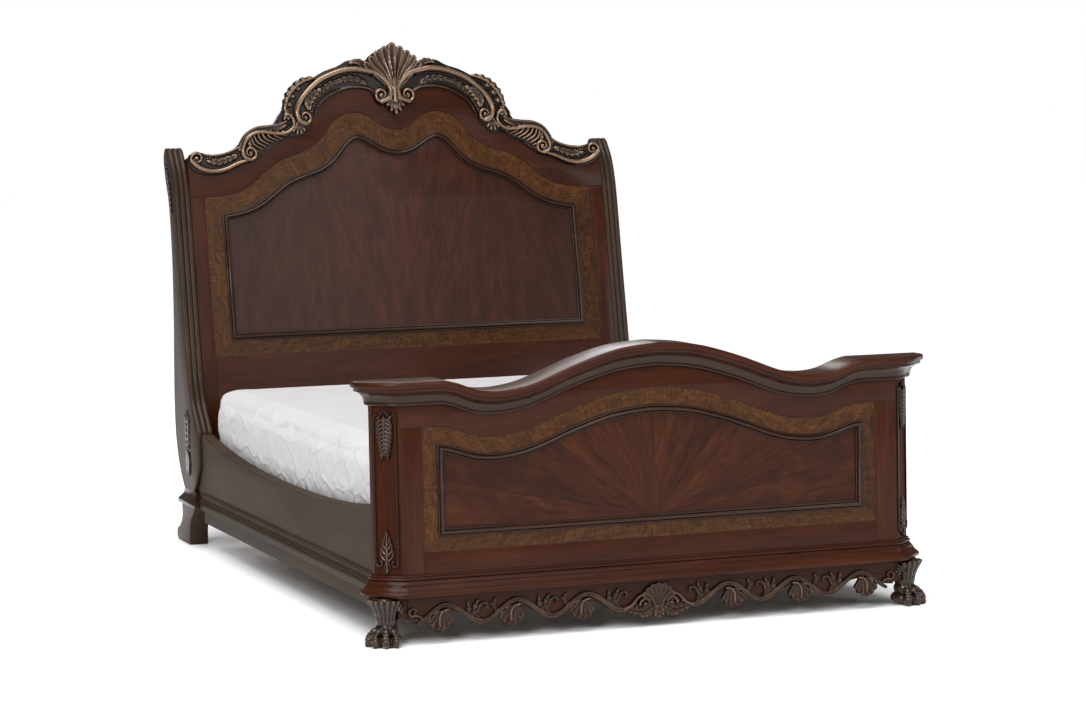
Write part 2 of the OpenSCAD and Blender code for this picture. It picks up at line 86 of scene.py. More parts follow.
def up(z):
    """A height above the floor as a distance up the headboard's slope."""
    return (z - HEAD_ORIGIN_Z) / math.cos(LEAN)


class Plane:
    """A drawing plane: u and v lie in it, and d goes into it, away from the viewer."""

    def __init__(self, origin, u, v, d):
        self.origin, self.u, self.v, self.d = (np.array(a, float) for a in (origin, u, v, d))

    def put(self, u, v, d):
        u, v, d = (np.asarray(a, float)[..., None] for a in (u, v, d))
        return self.origin + u * self.u + v * self.v + d * self.d

    def read(self, points):
        q = np.asarray(points, float) - self.origin
        return q @ self.u, q @ self.v, q @ self.d


FOOT = Plane((0, FACE_Y, 0), (1, 0, 0), (0, 0, 1), (0, 1, 0))
HEAD = Plane(HEAD_ORIGIN, (1, 0, 0), SLOPE, INTO_HEAD)
SIDE = {-1: Plane((0, 0, 0), (0, -1, 0), (0, 0, 1), (1, 0, 0)),
        1: Plane((0, 0, 0), (0, 1, 0), (0, 0, 1), (-1, 0, 0))}

# ---------------------------------------------------------------- curves


def spline(points, n=8):
    """A smooth open curve through the points, n steps between each pair."""
    p = np.array(points, float)
    out = []
    for i in range(len(p) - 1):
        a, b, c, d = p[max(i - 1, 0)], p[i], p[i + 1], p[min(i + 2, len(p) - 1)]
        for t in np.arange(n) / n:
            out.append(0.5 * (2 * b + (c - a) * t + (2 * a - 5 * b + 4 * c - d) * t * t
                              + (3 * b - a - 3 * c + d) * t ** 3))
    out.append(p[-1])
    return np.array(out)


def lengths(path):
    return np.concatenate([[0], np.cumsum(np.linalg.norm(np.diff(path, axis=0), axis=1))])


def resample(path, step):
    path = np.asarray(path, float)
    s = lengths(path)
    n = max(2, int(math.ceil(s[-1] / step)) + 1)
    t = np.linspace(0, s[-1], n)
    return np.stack([np.interp(t, s, path[:, k]) for k in range(path.shape[1])], 1)


def normals(path, closed):
    """Mitred left-hand normals of a path in the plane."""
    p = np.asarray(path, float)
    if closed:
        a, c = np.roll(p, 1, 0), np.roll(p, -1, 0)
    else:
        a, c = np.vstack([p[:1] * 2 - p[1:2], p[:-1]]), np.vstack([p[1:], p[-1:] * 2 - p[-2:-1]])
    t0, t1 = p - a, c - p
    t0 /= np.linalg.norm(t0, axis=1)[:, None]
    t1 /= np.linalg.norm(t1, axis=1)[:, None]
    n0, n1 = np.stack([-t0[:, 1], t0[:, 0]], 1), np.stack([-t1[:, 1], t1[:, 0]], 1)
    return (n0 + n1) / (1 + (n0 * n1).sum(1))[:, None]


def arc_points(cx, cy, r, a0, a1, n):
    a = np.radians(np.linspace(a0, a1, n))
    return np.stack([cx + r * np.cos(a), cy + r * np.sin(a)], 1)


def front_loops(node, plane):
    """The outlines of a board's front face, read from its CAD mesh, and its two depths."""
    mesh = NODES[node].data
    co = np.array([v.co for v in mesh.vertices])
    u, v, d = plane.read(co)
    front, rear = d.min(), d.max()
    key = {i: (round(u[i], 5), round(v[i], 5)) for i in range(len(co)) if d[i] < front + 2e-5}
    edges = {}
    for face in mesh.polygons:
        ids = list(face.vertices)
        if all(i in key for i in ids):
            for a, b in zip(ids, ids[1:] + ids[:1]):
                a, b = key[a], key[b]
                if a == b:
                    continue
                if (b, a) in edges:
                    edges.pop((b, a))
                else:
                    edges[(a, b)] = True
    follow = {}
    for a, b in edges:
        follow.setdefault(a, []).append(b)
    loops = []
    while follow:
        start = next(iter(follow))
        loop, at = [start], start
        while True:
            nxt = follow[at].pop()
            if not follow[at]:
                del follow[at]
            if nxt == start:
                break
            loop.append(nxt)
            at = nxt
        loops.append(straightened(np.array(loop)))
    return sorted(loops, key=lambda q: -np.ptp(q[:, 0])), front, rear


def straightened(loop):
    """A loop without the points that lie on a straight line between their neighbours."""
    a, c = np.roll(loop, 1, 0), np.roll(loop, -1, 0)
    e, f = loop - a, c - loop
    turn = np.abs(e[:, 0] * f[:, 1] - e[:, 1] * f[:, 0])
    return loop[turn > 1e-9]


def line_of(node, plane, top):
    """The upper or lower edge of a board's front face as a line from left to right."""
    loops, _, _ = front_loops(node, plane)
    best = {}
    for x, z in np.vstack(loops):
        x = round(float(x), 4)
        best[x] = max(best.get(x, z), z) if top else min(best.get(x, z), z)
    xs = sorted(best)
    return np.array([[x, best[x]] for x in xs])


# ---------------------------------------------------------------- pieces


def finish_piece(obj, material, replaces=(), body=BODY):
    obj.data.materials.clear()
    obj.data.materials.append(material)
    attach(obj, body)
    if replaces:
        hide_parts(*replaces)
    return obj


def mesh_piece(name, verts, faces, material, replaces=(), sharp=35, attributes=None):
    """A mesh piece with smooth shading broken at edges sharper than the given angle."""
    mesh = bpy.data.meshes.new(name)
    mesh.from_pydata([tuple(v) for v in np.asarray(verts, float)], [],
                     [tuple(int(i) for i in f) for f in faces])
    for key, values in (attributes or {}).items():
        values = np.asarray(values, np.float32)
        kind, field = ("FLOAT", "value") if values.ndim == 1 else ("FLOAT_VECTOR", "vector")
        mesh.attributes.new(key, kind, "POINT").data.foreach_set(field, values.ravel())
    mesh.validate()
    obj = bpy.data.objects.new(name, mesh)
    bpy.context.scene.collection.objects.link(obj)
    tidy(obj, sharp)
    return finish_piece(obj, material, replaces)


def tidy(obj, sharp=35, weld=True):
    """Welds doubles, turns faces outward and sets smooth shading."""
    bm = bmesh.new()
    bm.from_mesh(obj.data)
    if weld:
        bmesh.ops.remove_doubles(bm, verts=bm.verts, dist=1e-6)
        bmesh.ops.dissolve_degenerate(bm, edges=bm.edges, dist=1e-7)
    bmesh.ops.recalc_face_normals(bm, faces=bm.faces)
    bm.to_mesh(obj.data)
    bm.free()
    obj.data.polygons.foreach_set("use_smooth", np.ones(len(obj.data.polygons), bool))
    obj.data.set_sharp_from_angle(angle=math.radians(sharp))


def plate(name, loops, front, rear, plane, material, replaces=(), bevel=1.5 * MM):
    """A board cut to outlines in a plane, with rounded edges."""
    curve = bpy.data.curves.new(name + "_outline", "CURVE")
    curve.dimensions = "2D"
    curve.fill_mode = "BOTH"
    curve.extrude = (rear - front) / 2 - bevel
    curve.bevel_depth = bevel
    curve.bevel_resolution = 2
    curve.offset = -bevel
    for loop in loops:
        part = curve.splines.new("POLY")
        part.points.add(len(loop) - 1)
        part.points.foreach_set("co", np.column_stack(
            [loop, np.zeros(len(loop)), np.ones(len(loop))]).ravel())
        part.use_cyclic_u = True
    holder = bpy.data.objects.new(name + "_outline", curve)
    bpy.context.scene.collection.objects.link(holder)
    bpy.context.view_layer.update()
    source = holder.evaluated_get(bpy.context.evaluated_depsgraph_get()).to_mesh()
    co = np.array([v.co for v in source.vertices])
    verts = plane.put(co[:, 0], co[:, 1], (front + rear) / 2 - co[:, 2])
    faces = [list(p.vertices) for p in source.polygons]
    bpy.data.objects.remove(holder)
    return mesh_piece(name, verts, faces, material, replaces)


def refined(node, plane, material, bevel=1.5 * MM):
    """The same board as a CAD node, with its edges rounded."""
    loops, front, rear = front_loops(node, plane)
    return plate(node + ".fine", loops, front, rear, plane, material, [node], bevel)


def grid_faces(rows, cols, close_rows=False, close_cols=False):
    """Quads of a grid of vertices, row after row."""
    faces = []
    for i in range(rows if close_rows else rows - 1):
        for j in range(cols if close_cols else cols - 1):
            a, b = i * cols + j, i * cols + (j + 1) % cols
            c = ((i + 1) % rows) * cols
            faces.append((a, b, c + (j + 1) % cols, c + j))
    return faces


def sweep(name, path, closed, profile, plane, material, replaces=(), sharp=35):
    """A moulding: a closed profile of (offset to the left, height) carried along a path."""
    path = np.asarray(path, float)
    side = normals(path, closed)
    prof = np.asarray(profile, float)
    u = path[:, None, 0] + side[:, None, 0] * prof[None, :, 0]
    v = path[:, None, 1] + side[:, None, 1] * prof[None, :, 0]
    d = np.broadcast_to(-prof[None, :, 1], u.shape)
    verts = plane.put(u, v, d).reshape(-1, 3)
    n, m = len(path), len(prof)
    faces = grid_faces(n, m, close_rows=closed, close_cols=True)
    if not closed:
        faces += [tuple(range(m)), tuple(range((n - 1) * m, n * m))]
    return mesh_piece(name, verts, faces, material, replaces, sharp)

# ---------------------------------------------------------------- materials


class Shade:
    """A node material with a Principled shader, and short calls for its usual nodes."""

    def __init__(self, name):
        self.material = bpy.data.materials.new(name)
        self.material.use_nodes = True
        self.tree = self.material.node_tree
        self.tree.nodes.clear()
        out = self.tree.nodes.new("ShaderNodeOutputMaterial")
        self.bsdf = self.tree.nodes.new("ShaderNodeBsdfPrincipled")
        self.link(self.bsdf.outputs[0], out.inputs["Surface"])

    def link(self, source, target):
        self.tree.links.new(source, target)

    def node(self, kind, values=None, **settings):
        made = self.tree.nodes.new("ShaderNode" + kind)
        for key, value in settings.items():
            setattr(made, key, value)
        for key, value in (values or {}).items():
            if isinstance(value, bpy.types.NodeSocket):
                self.link(value, made.inputs[key])
            else:
                made.inputs[key].default_value = value
        return made

    def place(self, scale=(1, 1, 1), rotation=(0, 0, 0), source=None):
        source = source or self.node("TexCoord").outputs["Object"]
        return self.node("Mapping", {"Vector": source, "Scale": scale,
                                     "Rotation": rotation}).outputs[0]

    def attribute(self, name, field="Fac"):
        return self.node("Attribute", attribute_name=name).outputs[field]

    def noise(self, vector, scale, detail=4.0, rough=0.55, distortion=0.0, field="Fac"):
        return self.node("TexNoise", {"Vector": vector, "Scale": scale, "Detail": detail,
                                      "Roughness": rough, "Distortion": distortion}
                         ).outputs[field]

    def ramp(self, factor, *stops):
        made = self.node("ValToRGB", {"Fac": factor})
        cells = made.color_ramp.elements
        while len(cells) < len(stops):
            cells.new(0.5)
        for cell, (at, colour) in zip(cells, stops):
            cell.position = at
            level = colour if isinstance(colour, (int, float)) else None
            cell.color = (level,) * 3 + (1,) if level is not None else tuple(colour) + (1,)
        return made.outputs["Color"]

    def mix(self, factor, a, b, blend="MIX"):
        made = self.node("Mix", data_type="RGBA", blend_type=blend)
        for key, value in (("Factor", factor), (6, a), (7, b)):
            socket = made.inputs[0] if key == "Factor" else made.inputs[key]
            if isinstance(value, bpy.types.NodeSocket):
                self.link(value, socket)
            elif isinstance(value, (int, float)):
                socket.default_value = value if key == "Factor" else (value,) * 3 + (1,)
            else:
                socket.default_value = tuple(value) + (1,)
        return made.outputs[2]

    def math(self, kind, a, b=0.0, c=None, clamp=False):
        made = self.node("Math", operation=kind, use_clamp=clamp)
        for i, value in enumerate((a, b) if c is None else (a, b, c)):
            if isinstance(value, bpy.types.NodeSocket):
                self.link(value, made.inputs[i])
            else:
                made.inputs[i].default_value = value
        return made.outputs[0]

    def vector(self, kind, a, b=(0, 0, 0)):
        made = self.node("VectorMath", operation=kind)
        for i, value in enumerate((a, b)):
            if isinstance(value, bpy.types.NodeSocket):
                self.link(value, made.inputs[i])
            else:
                made.inputs[i].default_value = value
        return made.outputs[0]

    def bump(self, height, distance, strength=1.0, under=None):
        made = self.node("Bump", {"Height": height, "Distance": distance, "Strength": strength})
        if under is not None:
            self.link(under, made.inputs["Normal"])
        return made.outputs[0]

    def set(self, **values):
        """Sets the shader's sockets; underscores stand for the spaces in their names."""
        for key, value in values.items():
            socket = self.bsdf.inputs[key.replace("_", " ")]
            if isinstance(value, bpy.types.NodeSocket):
                self.link(value, socket)
            else:
                socket.default_value = tuple(value) + (1,) if isinstance(value, tuple) else value
        return self

    def crease_shade(self, colour, dark, reach=0.012, strength=0.75):
        """Painted shade where surfaces meet, found by ambient occlusion, as well as old wax and stain
        gathered there.
        """
        near = self.node("AmbientOcclusion", {"Distance": reach}, samples=6).outputs["AO"]
        # painted shade: the colour darkens where ambient occlusion finds nearby surfaces
        edge = self.ramp(near, (0.35, 1.0), (0.85, 0.0))
        return self.mix(self.math("MULTIPLY", edge, strength), colour, dark)


ACROSS, ALONG, UPRIGHT = (1.0, 8.0, 8.0), (8.0, 1.0, 8.0), (8.0, 8.0, 1.0)


def wood(name, dark, light, grain, gloss=0.3, coat=0.08, fibre=1.0, dirt_and_shade=(0.010, 0.005, 0.003),
         source=None, figure=2.2, mirror=0.09):
    """Stained and lacquered wood: broad figure, fine fibres, open pores and painted shade in its
    creases.
    """
    m = Shade(name)
    base = m.place(grain, source=source)
    warp = m.noise(base, 0.7, 3, field="Color")
    bent = m.vector("ADD", base, m.vector("MULTIPLY", warp, (0.35, 0.35, 0.35)))
    broad = m.noise(bent, figure, 5, 0.55, 0.6)
    fine = tuple(5.5 * g for g in grain)
    streak = m.noise(m.place(fine, source=source), 2.4, 9, 0.68, 0.15)
    long_pores = tuple((3.0 if g == 1.0 else 30.0) * g for g in grain)
    pores = m.ramp(m.noise(m.place(long_pores, source=source), 3.2, 2, 0.5), (0.30, 0.0), (0.40, 1.0))
    tone = m.math("ADD", m.math("MULTIPLY", broad, 0.55), m.math("MULTIPLY", streak, 0.45 * fibre))
    tint = m.ramp(tone, (0.30, dark), (0.52, tuple(0.5 * (a + b) for a, b in zip(dark, light))),
                  (0.70, light))
    tint = m.mix(m.math("MULTIPLY", m.math("SUBTRACT", 1.0, pores), 0.45), tint, dirt_and_shade)
    # painted shade: where surfaces meet, ambient occlusion darkens the colour towards the same dark tone
    # as the pores
    tint = m.crease_shade(tint, dirt_and_shade)
    rough = m.math("ADD", m.math("MULTIPLY", streak, 0.16), gloss - 0.08)
    relief = m.math("ADD", m.math("MULTIPLY", pores, 0.5), m.math("MULTIPLY", streak, 0.5))
    m.set(Base_Color=tint, Roughness=rough, Coat_Weight=coat, Coat_Roughness=0.16,
          Specular_IOR_Level=mirror, Normal=m.bump(relief, 0.00025, 0.5))
    return m.material


RED_DARK, RED_LIGHT = (0.019, 0.0052, 0.0024), (0.062, 0.0168, 0.0070)
mahogany = {"x": wood("mahogany_x", RED_DARK, RED_LIGHT, ACROSS),
            "y": wood("mahogany_y", RED_DARK, RED_LIGHT, ALONG),
            "z": wood("mahogany_z", RED_DARK, RED_LIGHT, UPRIGHT)}
BROWN_DARK, BROWN_LIGHT = (0.014, 0.0060, 0.0038), (0.050, 0.0205, 0.0120)
dark_wood = {"x": wood("dark_mahogany_x", BROWN_DARK, BROWN_LIGHT, ACROSS, 0.24, 0.32),
             "y": wood("dark_mahogany_y", BROWN_DARK, BROWN_LIGHT, ALONG, 0.24, 0.32),
             "z": wood("dark_mahogany_z", BROWN_DARK, BROWN_LIGHT, UPRIGHT, 0.24, 0.32)}
RAIL_DARK, RAIL_LIGHT = (0.030, 0.0195, 0.0130), (0.066, 0.0430, 0.0285)
rail_wood = wood("rail_mahogany", RAIL_DARK, RAIL_LIGHT, ALONG, 0.56, 0.0, mirror=0.08)
pilaster_wood = wood("pilaster_mahogany", RED_DARK, RED_LIGHT, UPRIGHT, 0.50, 0.0, mirror=0.04)
post_wood = wood("post_mahogany", (0.022, 0.0125, 0.0082), (0.058, 0.0330, 0.0215), UPRIGHT, 0.42,
                 0.10, mirror=0.10)
pine_wood = {"x": wood("pine_x", (0.34, 0.20, 0.10), (0.58, 0.42, 0.25), ACROSS, 0.6, 0.0,
                       dirt_and_shade=(0.16, 0.09, 0.05)),
             "y": wood("pine_y", (0.34, 0.20, 0.10), (0.58, 0.42, 0.25), ALONG, 0.6, 0.0,
                       dirt_and_shade=(0.16, 0.09, 0.05)),
             "z": wood("pine_z", (0.34, 0.20, 0.10), (0.58, 0.42, 0.25), UPRIGHT, 0.6, 0.0,
                       dirt_and_shade=(0.16, 0.09, 0.05))}


def veneer_band_material():
    """Golden cross-grain ash with curl and small burl eyes, laid in short leaves.

    The attribute "veneer" holds metres along the band, metres across it and a leaf number.
    """
    m = Shade("ash_band")
    where = m.attribute("veneer", "Vector")
    parts = m.node("SeparateXYZ", {"Vector": where})
    leaf = m.node("TexWhiteNoise", {"W": parts.outputs["Z"]}, noise_dimensions="1D").outputs["Value"]
    shifted = m.vector("ADD", where, m.vector("MULTIPLY", where, (0.0, 0.0, 3.7)))
    grain = m.place((46.0, 5.0, 1.0), source=shifted)
    streak = m.noise(grain, 3.0, 8, 0.66, 0.5)
    curl = m.noise(m.place((9.0, 22.0, 1.0), source=shifted), 2.2, 5, 0.6, 1.8)
    eyes = m.node("TexVoronoi", {"Vector": m.place((1, 1, 1), source=shifted), "Scale": 70.0,
                                 "Randomness": 1.0}, feature="F1").outputs["Distance"]
    eye = m.ramp(eyes, (0.10, 0.0), (0.32, 1.0))
    tone = m.math("ADD", m.math("MULTIPLY", streak, 0.5), m.math("MULTIPLY", curl, 0.5))
    tone = m.math("ADD", tone, m.math("MULTIPLY", m.math("SUBTRACT", leaf, 0.5), 0.10))
    tint = m.ramp(tone, (0.30, (0.011, 0.0038, 0.0014)), (0.46, (0.036, 0.0125, 0.0036)),
                  (0.60, (0.076, 0.0285, 0.0070)), (0.78, (0.155, 0.0660, 0.0165)))
    tint = m.mix(m.math("MULTIPLY", m.math("SUBTRACT", 1.0, eye), 0.30), tint,
                 (0.035, 0.012, 0.005))
    # painted shade: darker where surfaces meet, found by ambient occlusion
    tint = m.crease_shade(tint, (0.012, 0.006, 0.004), 0.008, 0.9)
    m.set(Base_Color=tint, Roughness=0.32, Coat_Weight=0.10, Coat_Roughness=0.16,
          Specular_IOR_Level=0.10, Normal=m.bump(streak, 0.0002, 0.4))
    return m.material


def sunburst_material(centre):
    """Wedges of crotch mahogany that fan out from the bottom middle of the panel."""
    m = Shade("sunburst")
    spot = m.node("TexCoord").outputs["Object"]
    local = m.vector("SUBTRACT", spot, centre)
    xyz = m.node("SeparateXYZ", {"Vector": local})
    x, z = xyz.outputs["X"], xyz.outputs["Z"]
    angle = m.math("ARCTAN2", z, x)
    reach = m.node("VectorMath", {0: local}, operation="LENGTH").outputs["Value"]
    wedge = m.math("MULTIPLY", angle, 14 / math.pi)
    number = m.math("FLOOR", wedge)
    inside = m.math("FRACT", wedge)
    polar = m.node("CombineXYZ", {"X": m.math("MULTIPLY", angle, 30.0),
                                  "Y": m.math("MULTIPLY", reach, 2.2),
                                  "Z": m.math("MULTIPLY", number, 5.3)}).outputs[0]
    ray = m.noise(polar, 1.0, 6, 0.62, 0.7)
    broad = m.noise(m.place((0.16, 1.4, 1.0), source=polar), 2.4, 4, 0.55, 1.2)
    flame = m.noise(m.node("CombineXYZ", {"X": m.math("MULTIPLY", angle, 5.0),
                                          "Y": m.math("MULTIPLY", reach, 9.0),
                                          "Z": number}).outputs[0], 1.1, 5, 0.6, 1.6)
    each = m.node("TexWhiteNoise", {"W": number}, noise_dimensions="1D").outputs["Value"]
    tone = m.math("ADD", m.math("MULTIPLY", ray, 0.36), m.math("MULTIPLY", broad, 0.30))
    tone = m.math("ADD", tone, m.math("MULTIPLY", flame, 0.34))
    tone = m.math("ADD", tone, m.math("MULTIPLY", m.math("SUBTRACT", each, 0.5), 0.10))
    tint = m.ramp(tone, (0.30, (0.014, 0.0042, 0.0020)), (0.48, (0.032, 0.0084, 0.0034)),
                  (0.60, (0.054, 0.0145, 0.0046)), (0.76, (0.098, 0.0310, 0.0080)))
    seam = m.ramp(m.math("ABSOLUTE", m.math("SUBTRACT", inside, 0.5)), (0.485, 0.0), (0.5, 1.0))
    tint = m.mix(m.math("MULTIPLY", seam, 0.3), tint, (0.015, 0.006, 0.004))
    # painted shade: darker where surfaces meet, found by ambient occlusion
    tint = m.crease_shade(tint, (0.010, 0.005, 0.003), 0.015, 0.9)
    m.set(Base_Color=tint, Roughness=0.28, Coat_Weight=0.08, Coat_Roughness=0.14,
          Specular_IOR_Level=0.09, Normal=m.bump(ray, 0.0002, 0.35))
    return m.material


def bookmatch_material():
    """Crotch mahogany, book-matched about the middle of the headboard, darker to the sides."""
    m = Shade("bookmatch")
    xyz = m.node("SeparateXYZ", {"Vector": m.node("TexCoord").outputs["Object"]})
    wide = m.math("ABSOLUTE", xyz.outputs["X"])
    folded = m.math("PINGPONG", wide, 0.33)
    height = xyz.outputs["Z"]
    arch = m.math("SUBTRACT", height, m.math("MULTIPLY", m.math("POWER", folded, 1.35), 2.6))
    where = m.node("CombineXYZ", {"X": m.math("MULTIPLY", folded, 7.0),
                                  "Y": m.math("MULTIPLY", arch, 3.4),
                                  "Z": 0.0}).outputs[0]
    feather = m.noise(where, 2.2, 7, 0.62, 1.5)
    fine = m.noise(m.node("CombineXYZ", {"X": m.math("MULTIPLY", folded, 90.0),
                                         "Y": m.math("MULTIPLY", height, 7.0),
                                         "Z": 0.0}).outputs[0], 1.0, 6, 0.65, 0.5)
    middle = m.ramp(wide, (0.0, 1.0), (0.42, 0.55), (0.62, 0.15))
    tone = m.math("ADD", m.math("MULTIPLY", feather, 0.62), m.math("MULTIPLY", fine, 0.30))
    tone = m.math("ADD", tone, m.math("MULTIPLY", middle, 0.12))
    tint = m.ramp(tone, (0.34, (0.020, 0.0068, 0.0040)), (0.54, (0.034, 0.0110, 0.0060)),
                  (0.68, (0.056, 0.0166, 0.0078)), (0.84, (0.090, 0.0265, 0.0110)))
    # painted shade: darker where surfaces meet, found by ambient occlusion
    tint = m.crease_shade(tint, (0.010, 0.005, 0.003), 0.015, 0.9)
    m.set(Base_Color=tint, Roughness=0.34, Coat_Weight=0.15, Coat_Roughness=0.16,
          Specular_IOR_Level=0.14, Normal=m.bump(fine, 0.0002, 0.4))
    return m.material


def carved_material(name, hollow_stain_and_shade, body, crest_bronze_and_highlight, shine=0.45, coat=0.35):
    """Dark stained carving rubbed with bronze: the attribute "rise" is 1 on its crests. The crests are
    painted lighter, as bronze and painted highlight, and the hollows darker, as stain and painted shade.
    """
    m = Shade(name)
    rise = m.attribute("rise")
    spot = m.node("TexCoord").outputs["Object"]
    patch = m.noise(spot, 38.0, 5, 0.6)
    grit = m.noise(spot, 420.0, 3, 0.6)
    level = m.math("ADD", rise, m.math("MULTIPLY", m.math("SUBTRACT", patch, 0.5), 0.35))
    # painted highlight on the crests and painted shade in the hollows, besides the bronze rubbing and
    # stain
    tint = m.ramp(level, (0.22, hollow_stain_and_shade), (0.52, body), (0.98, crest_bronze_and_highlight))
    # painted shade: darker where surfaces meet, found by ambient occlusion
    tint = m.crease_shade(tint, hollow_stain_and_shade, 0.010, 0.85)
    metal = m.math("MULTIPLY", m.ramp(level, (0.50, 0.0), (0.98, 1.0)), shine)
    rough = m.math("ADD", m.math("MULTIPLY", grit, 0.20), 0.16)
    height = m.math("ADD", m.math("MULTIPLY", grit, 0.4), patch)
    m.set(Base_Color=tint, Metallic=metal, Roughness=rough, Coat_Weight=coat,
          Coat_Roughness=0.11, Specular_IOR_Level=0.12, Normal=m.bump(height, 0.0005, 0.5))
    return m.material


ash_band = veneer_band_material()
bookmatch = bookmatch_material()
# colours for hollows, body and crests: the hollows hold stain and painted shade, the crests bronze and
# painted highlight
gilt = carved_material("carved_gilt", (0.0065, 0.0034, 0.0020), (0.028, 0.0148, 0.0086),
                       (0.25, 0.160, 0.103), 0.75, 0.30)
carved_red = carved_material("carved_mahogany", (0.009, 0.0042, 0.0026), (0.034, 0.0145, 0.0085),
                             (0.20, 0.110, 0.068), 0.45, 0.22)
carved_dark = carved_material("carved_walnut", (0.006, 0.0034, 0.0022), (0.026, 0.0142, 0.0090),
                              (0.105, 0.062, 0.040), 0.40, 0.45)


def steel_material():
    m = Shade("zinc_steel")
    spot = m.place((1, 1, 1))
    spangle = m.node("TexVoronoi", {"Vector": spot, "Scale": 160.0}, feature="F1").outputs["Color"]
    worn = m.noise(spot, 90.0, 5)
    tint = m.mix(0.25, m.ramp(worn, (0.3, (0.34, 0.34, 0.35)), (0.7, (0.62, 0.62, 0.62))), spangle)
    tint = m.mix(0.55, tint, (0.5, 0.5, 0.5))
    m.set(Base_Color=tint, Metallic=1.0, Roughness=m.math("ADD", 0.28, m.math("MULTIPLY", worn, 0.2)),
          Normal=m.bump(worn, 0.0002, 0.4))
    return m.material


zinc_steel = steel_material()

# ---------------------------------------------------------------- framed panels

PLAN = Plane((0, 0, 0), (1, 0, 0), (0, 1, 0), (0, 0, -1))


def ccw(loop):
    x, y = loop[:, 0], loop[:, 1]
    return loop if (x * np.roll(y, -1) - y * np.roll(x, -1)).sum() > 0 else loop[::-1]


def flow(loop, reach=26 * MM, n=3, bend=50, rounding=5):
    """The rounded runs of an outline from corner to corner, with no points near a corner."""
    loop = ccw(np.asarray(loop))
    e, f = loop - np.roll(loop, 1, 0), np.roll(loop, -1, 0) - loop
    turn = np.abs(np.arctan2(e[:, 0] * f[:, 1] - e[:, 1] * f[:, 0], (e * f).sum(1)))
    corners = np.nonzero(turn > math.radians(bend))[0]
    corners = np.roll(corners, -int(np.argmin(loop[corners].sum(1))))
    runs = []
    for i, start in enumerate(corners):
        count = (corners[(i + 1) % len(corners)] - start) % len(loop)
        run = loop[(start + np.arange(count + 1)) % len(loop)]
        if len(run) > 2:
            away = np.minimum(np.linalg.norm(run - run[0], axis=1),
                              np.linalg.norm(run - run[-1], axis=1))
            keep = away > reach
            keep[[0, -1]] = True
            run = resample(spline(run[keep], n), 9 * MM)
            for _ in range(rounding):
                run[1:-1] = 0.5 * run[1:-1] + 0.25 * (run[:-2] + run[2:])
        runs.append(run)
    return runs


def bead(x0, x1, base, height, n=7):
    """A half-round from x0 to x1 that stands on the given base."""
    a = np.linspace(math.pi, 0, n)
    return [((x0 + x1) / 2 + (x1 - x0) / 2 * math.cos(t), base + height * math.sin(t)) for t in a]


PANEL_BEADS = np.array([(0, -20)] + bead(0, 5, 0.5, 3) + bead(5.6, 17, 1.0, 8.6, 11)
                       + bead(17.6, 22, -0.5, 2.2) + [(22, -20)]) * MM


def panel_moulding(node, plane):
    """The beaded frame round a centre panel, mitred at its corners."""
    loops, _, _ = front_loops(node, plane)
    ring = np.vstack([run[:-1] for run in flow(loops[0], rounding=16)])
    sweep(node + ".fine", ring, True, PANEL_BEADS, plane, dark_wood["x"],
          [node], sharp=65)
    return ring + 15 * MM * normals(ring, True)


def stations(run, n):
    """n points of a run, even along whichever axis it mostly follows."""
    axis = 0 if np.ptp(run[:, 0]) > np.ptp(run[:, 1]) else 1
    t = (run[:, axis] - run[0, axis]) / (run[-1, axis] - run[0, axis])
    s = np.linspace(0, 1, n)
    return np.stack([np.interp(s, t, run[:, 0]), np.interp(s, t, run[:, 1])], 1)


def veneer_band(node, plane):
    """Four mitred lengths of cross-grain veneer between the frame and the panel moulding."""
    loops, front, rear = front_loops(node, plane)
    verts, faces, grain = [], [], []
    for side, (outer, inner) in enumerate(zip(flow(loops[0]), flow(loops[1], rounding=16))):
        n = max(2, int(lengths(outer)[-1] / (12 * MM)))
        p, q = stations(outer, n), stations(inner, n)
        along = lengths((p + q) / 2)
        across = np.linalg.norm(p - q, axis=1)
        start = len(verts)
        for i in range(n):
            for at, depth, wide in ((p[i], front, 0), (q[i], front, across[i]),
                                    (q[i], rear, across[i]), (p[i], rear, 0)):
                verts.append(plane.put(at[0], at[1], depth))
                grain.append((along[i], wide, side))
        faces += [tuple(start + i for i in f) for f in grid_faces(n, 4, close_cols=True)]
        faces += [tuple(range(start, start + 4)), tuple(range(start + 4 * n - 4, start + 4 * n))]
    mesh_piece(node + ".fine", verts, faces, ash_band, [node],
               attributes={"veneer": grain})


for name in ("footboard_top_rail", "footboard_bottom_rail"):
    refined(name, FOOT, mahogany["x"])
for name in ("headboard_top_rail", "headboard_bottom_rail"):
    refined(name, HEAD, mahogany["x"])
for side in ("left", "right"):
    refined("footboard_stile_" + side, FOOT, mahogany["z"])
    refined("headboard_stile_" + side, HEAD, mahogany["z"])
    refined("footboard_pilaster_" + side, PLAN, pilaster_wood, 2 * MM)
sunburst = sunburst_material((0.0, FACE_Y, lo("footboard_centre_panel").z - 10 * MM))
for name, plane, figure in (("footboard", FOOT, sunburst), ("headboard", HEAD, bookmatch)):
    window = panel_moulding(name + "_panel_moulding", plane)
    veneer_band(name + "_veneer_band", plane)
    node = name + "_centre_panel"
    _, front, rear = front_loops(node, plane)
    plate(node + ".fine", [window], front, rear, plane, figure, [node], 0.5 * MM)

# ---------------------------------------------------------------- footboard mouldings

CAP_H = 28 * MM
CAP_OUT = 50 * MM
foot_line = spline(line_of("footboard_top_rail", FOOT, True), 4)


def wave(x):
    """Height of the cornice's top edge at a place across the footboard."""
    return float(np.interp(x, foot_line[:, 0], foot_line[:, 1])) + CAP_H


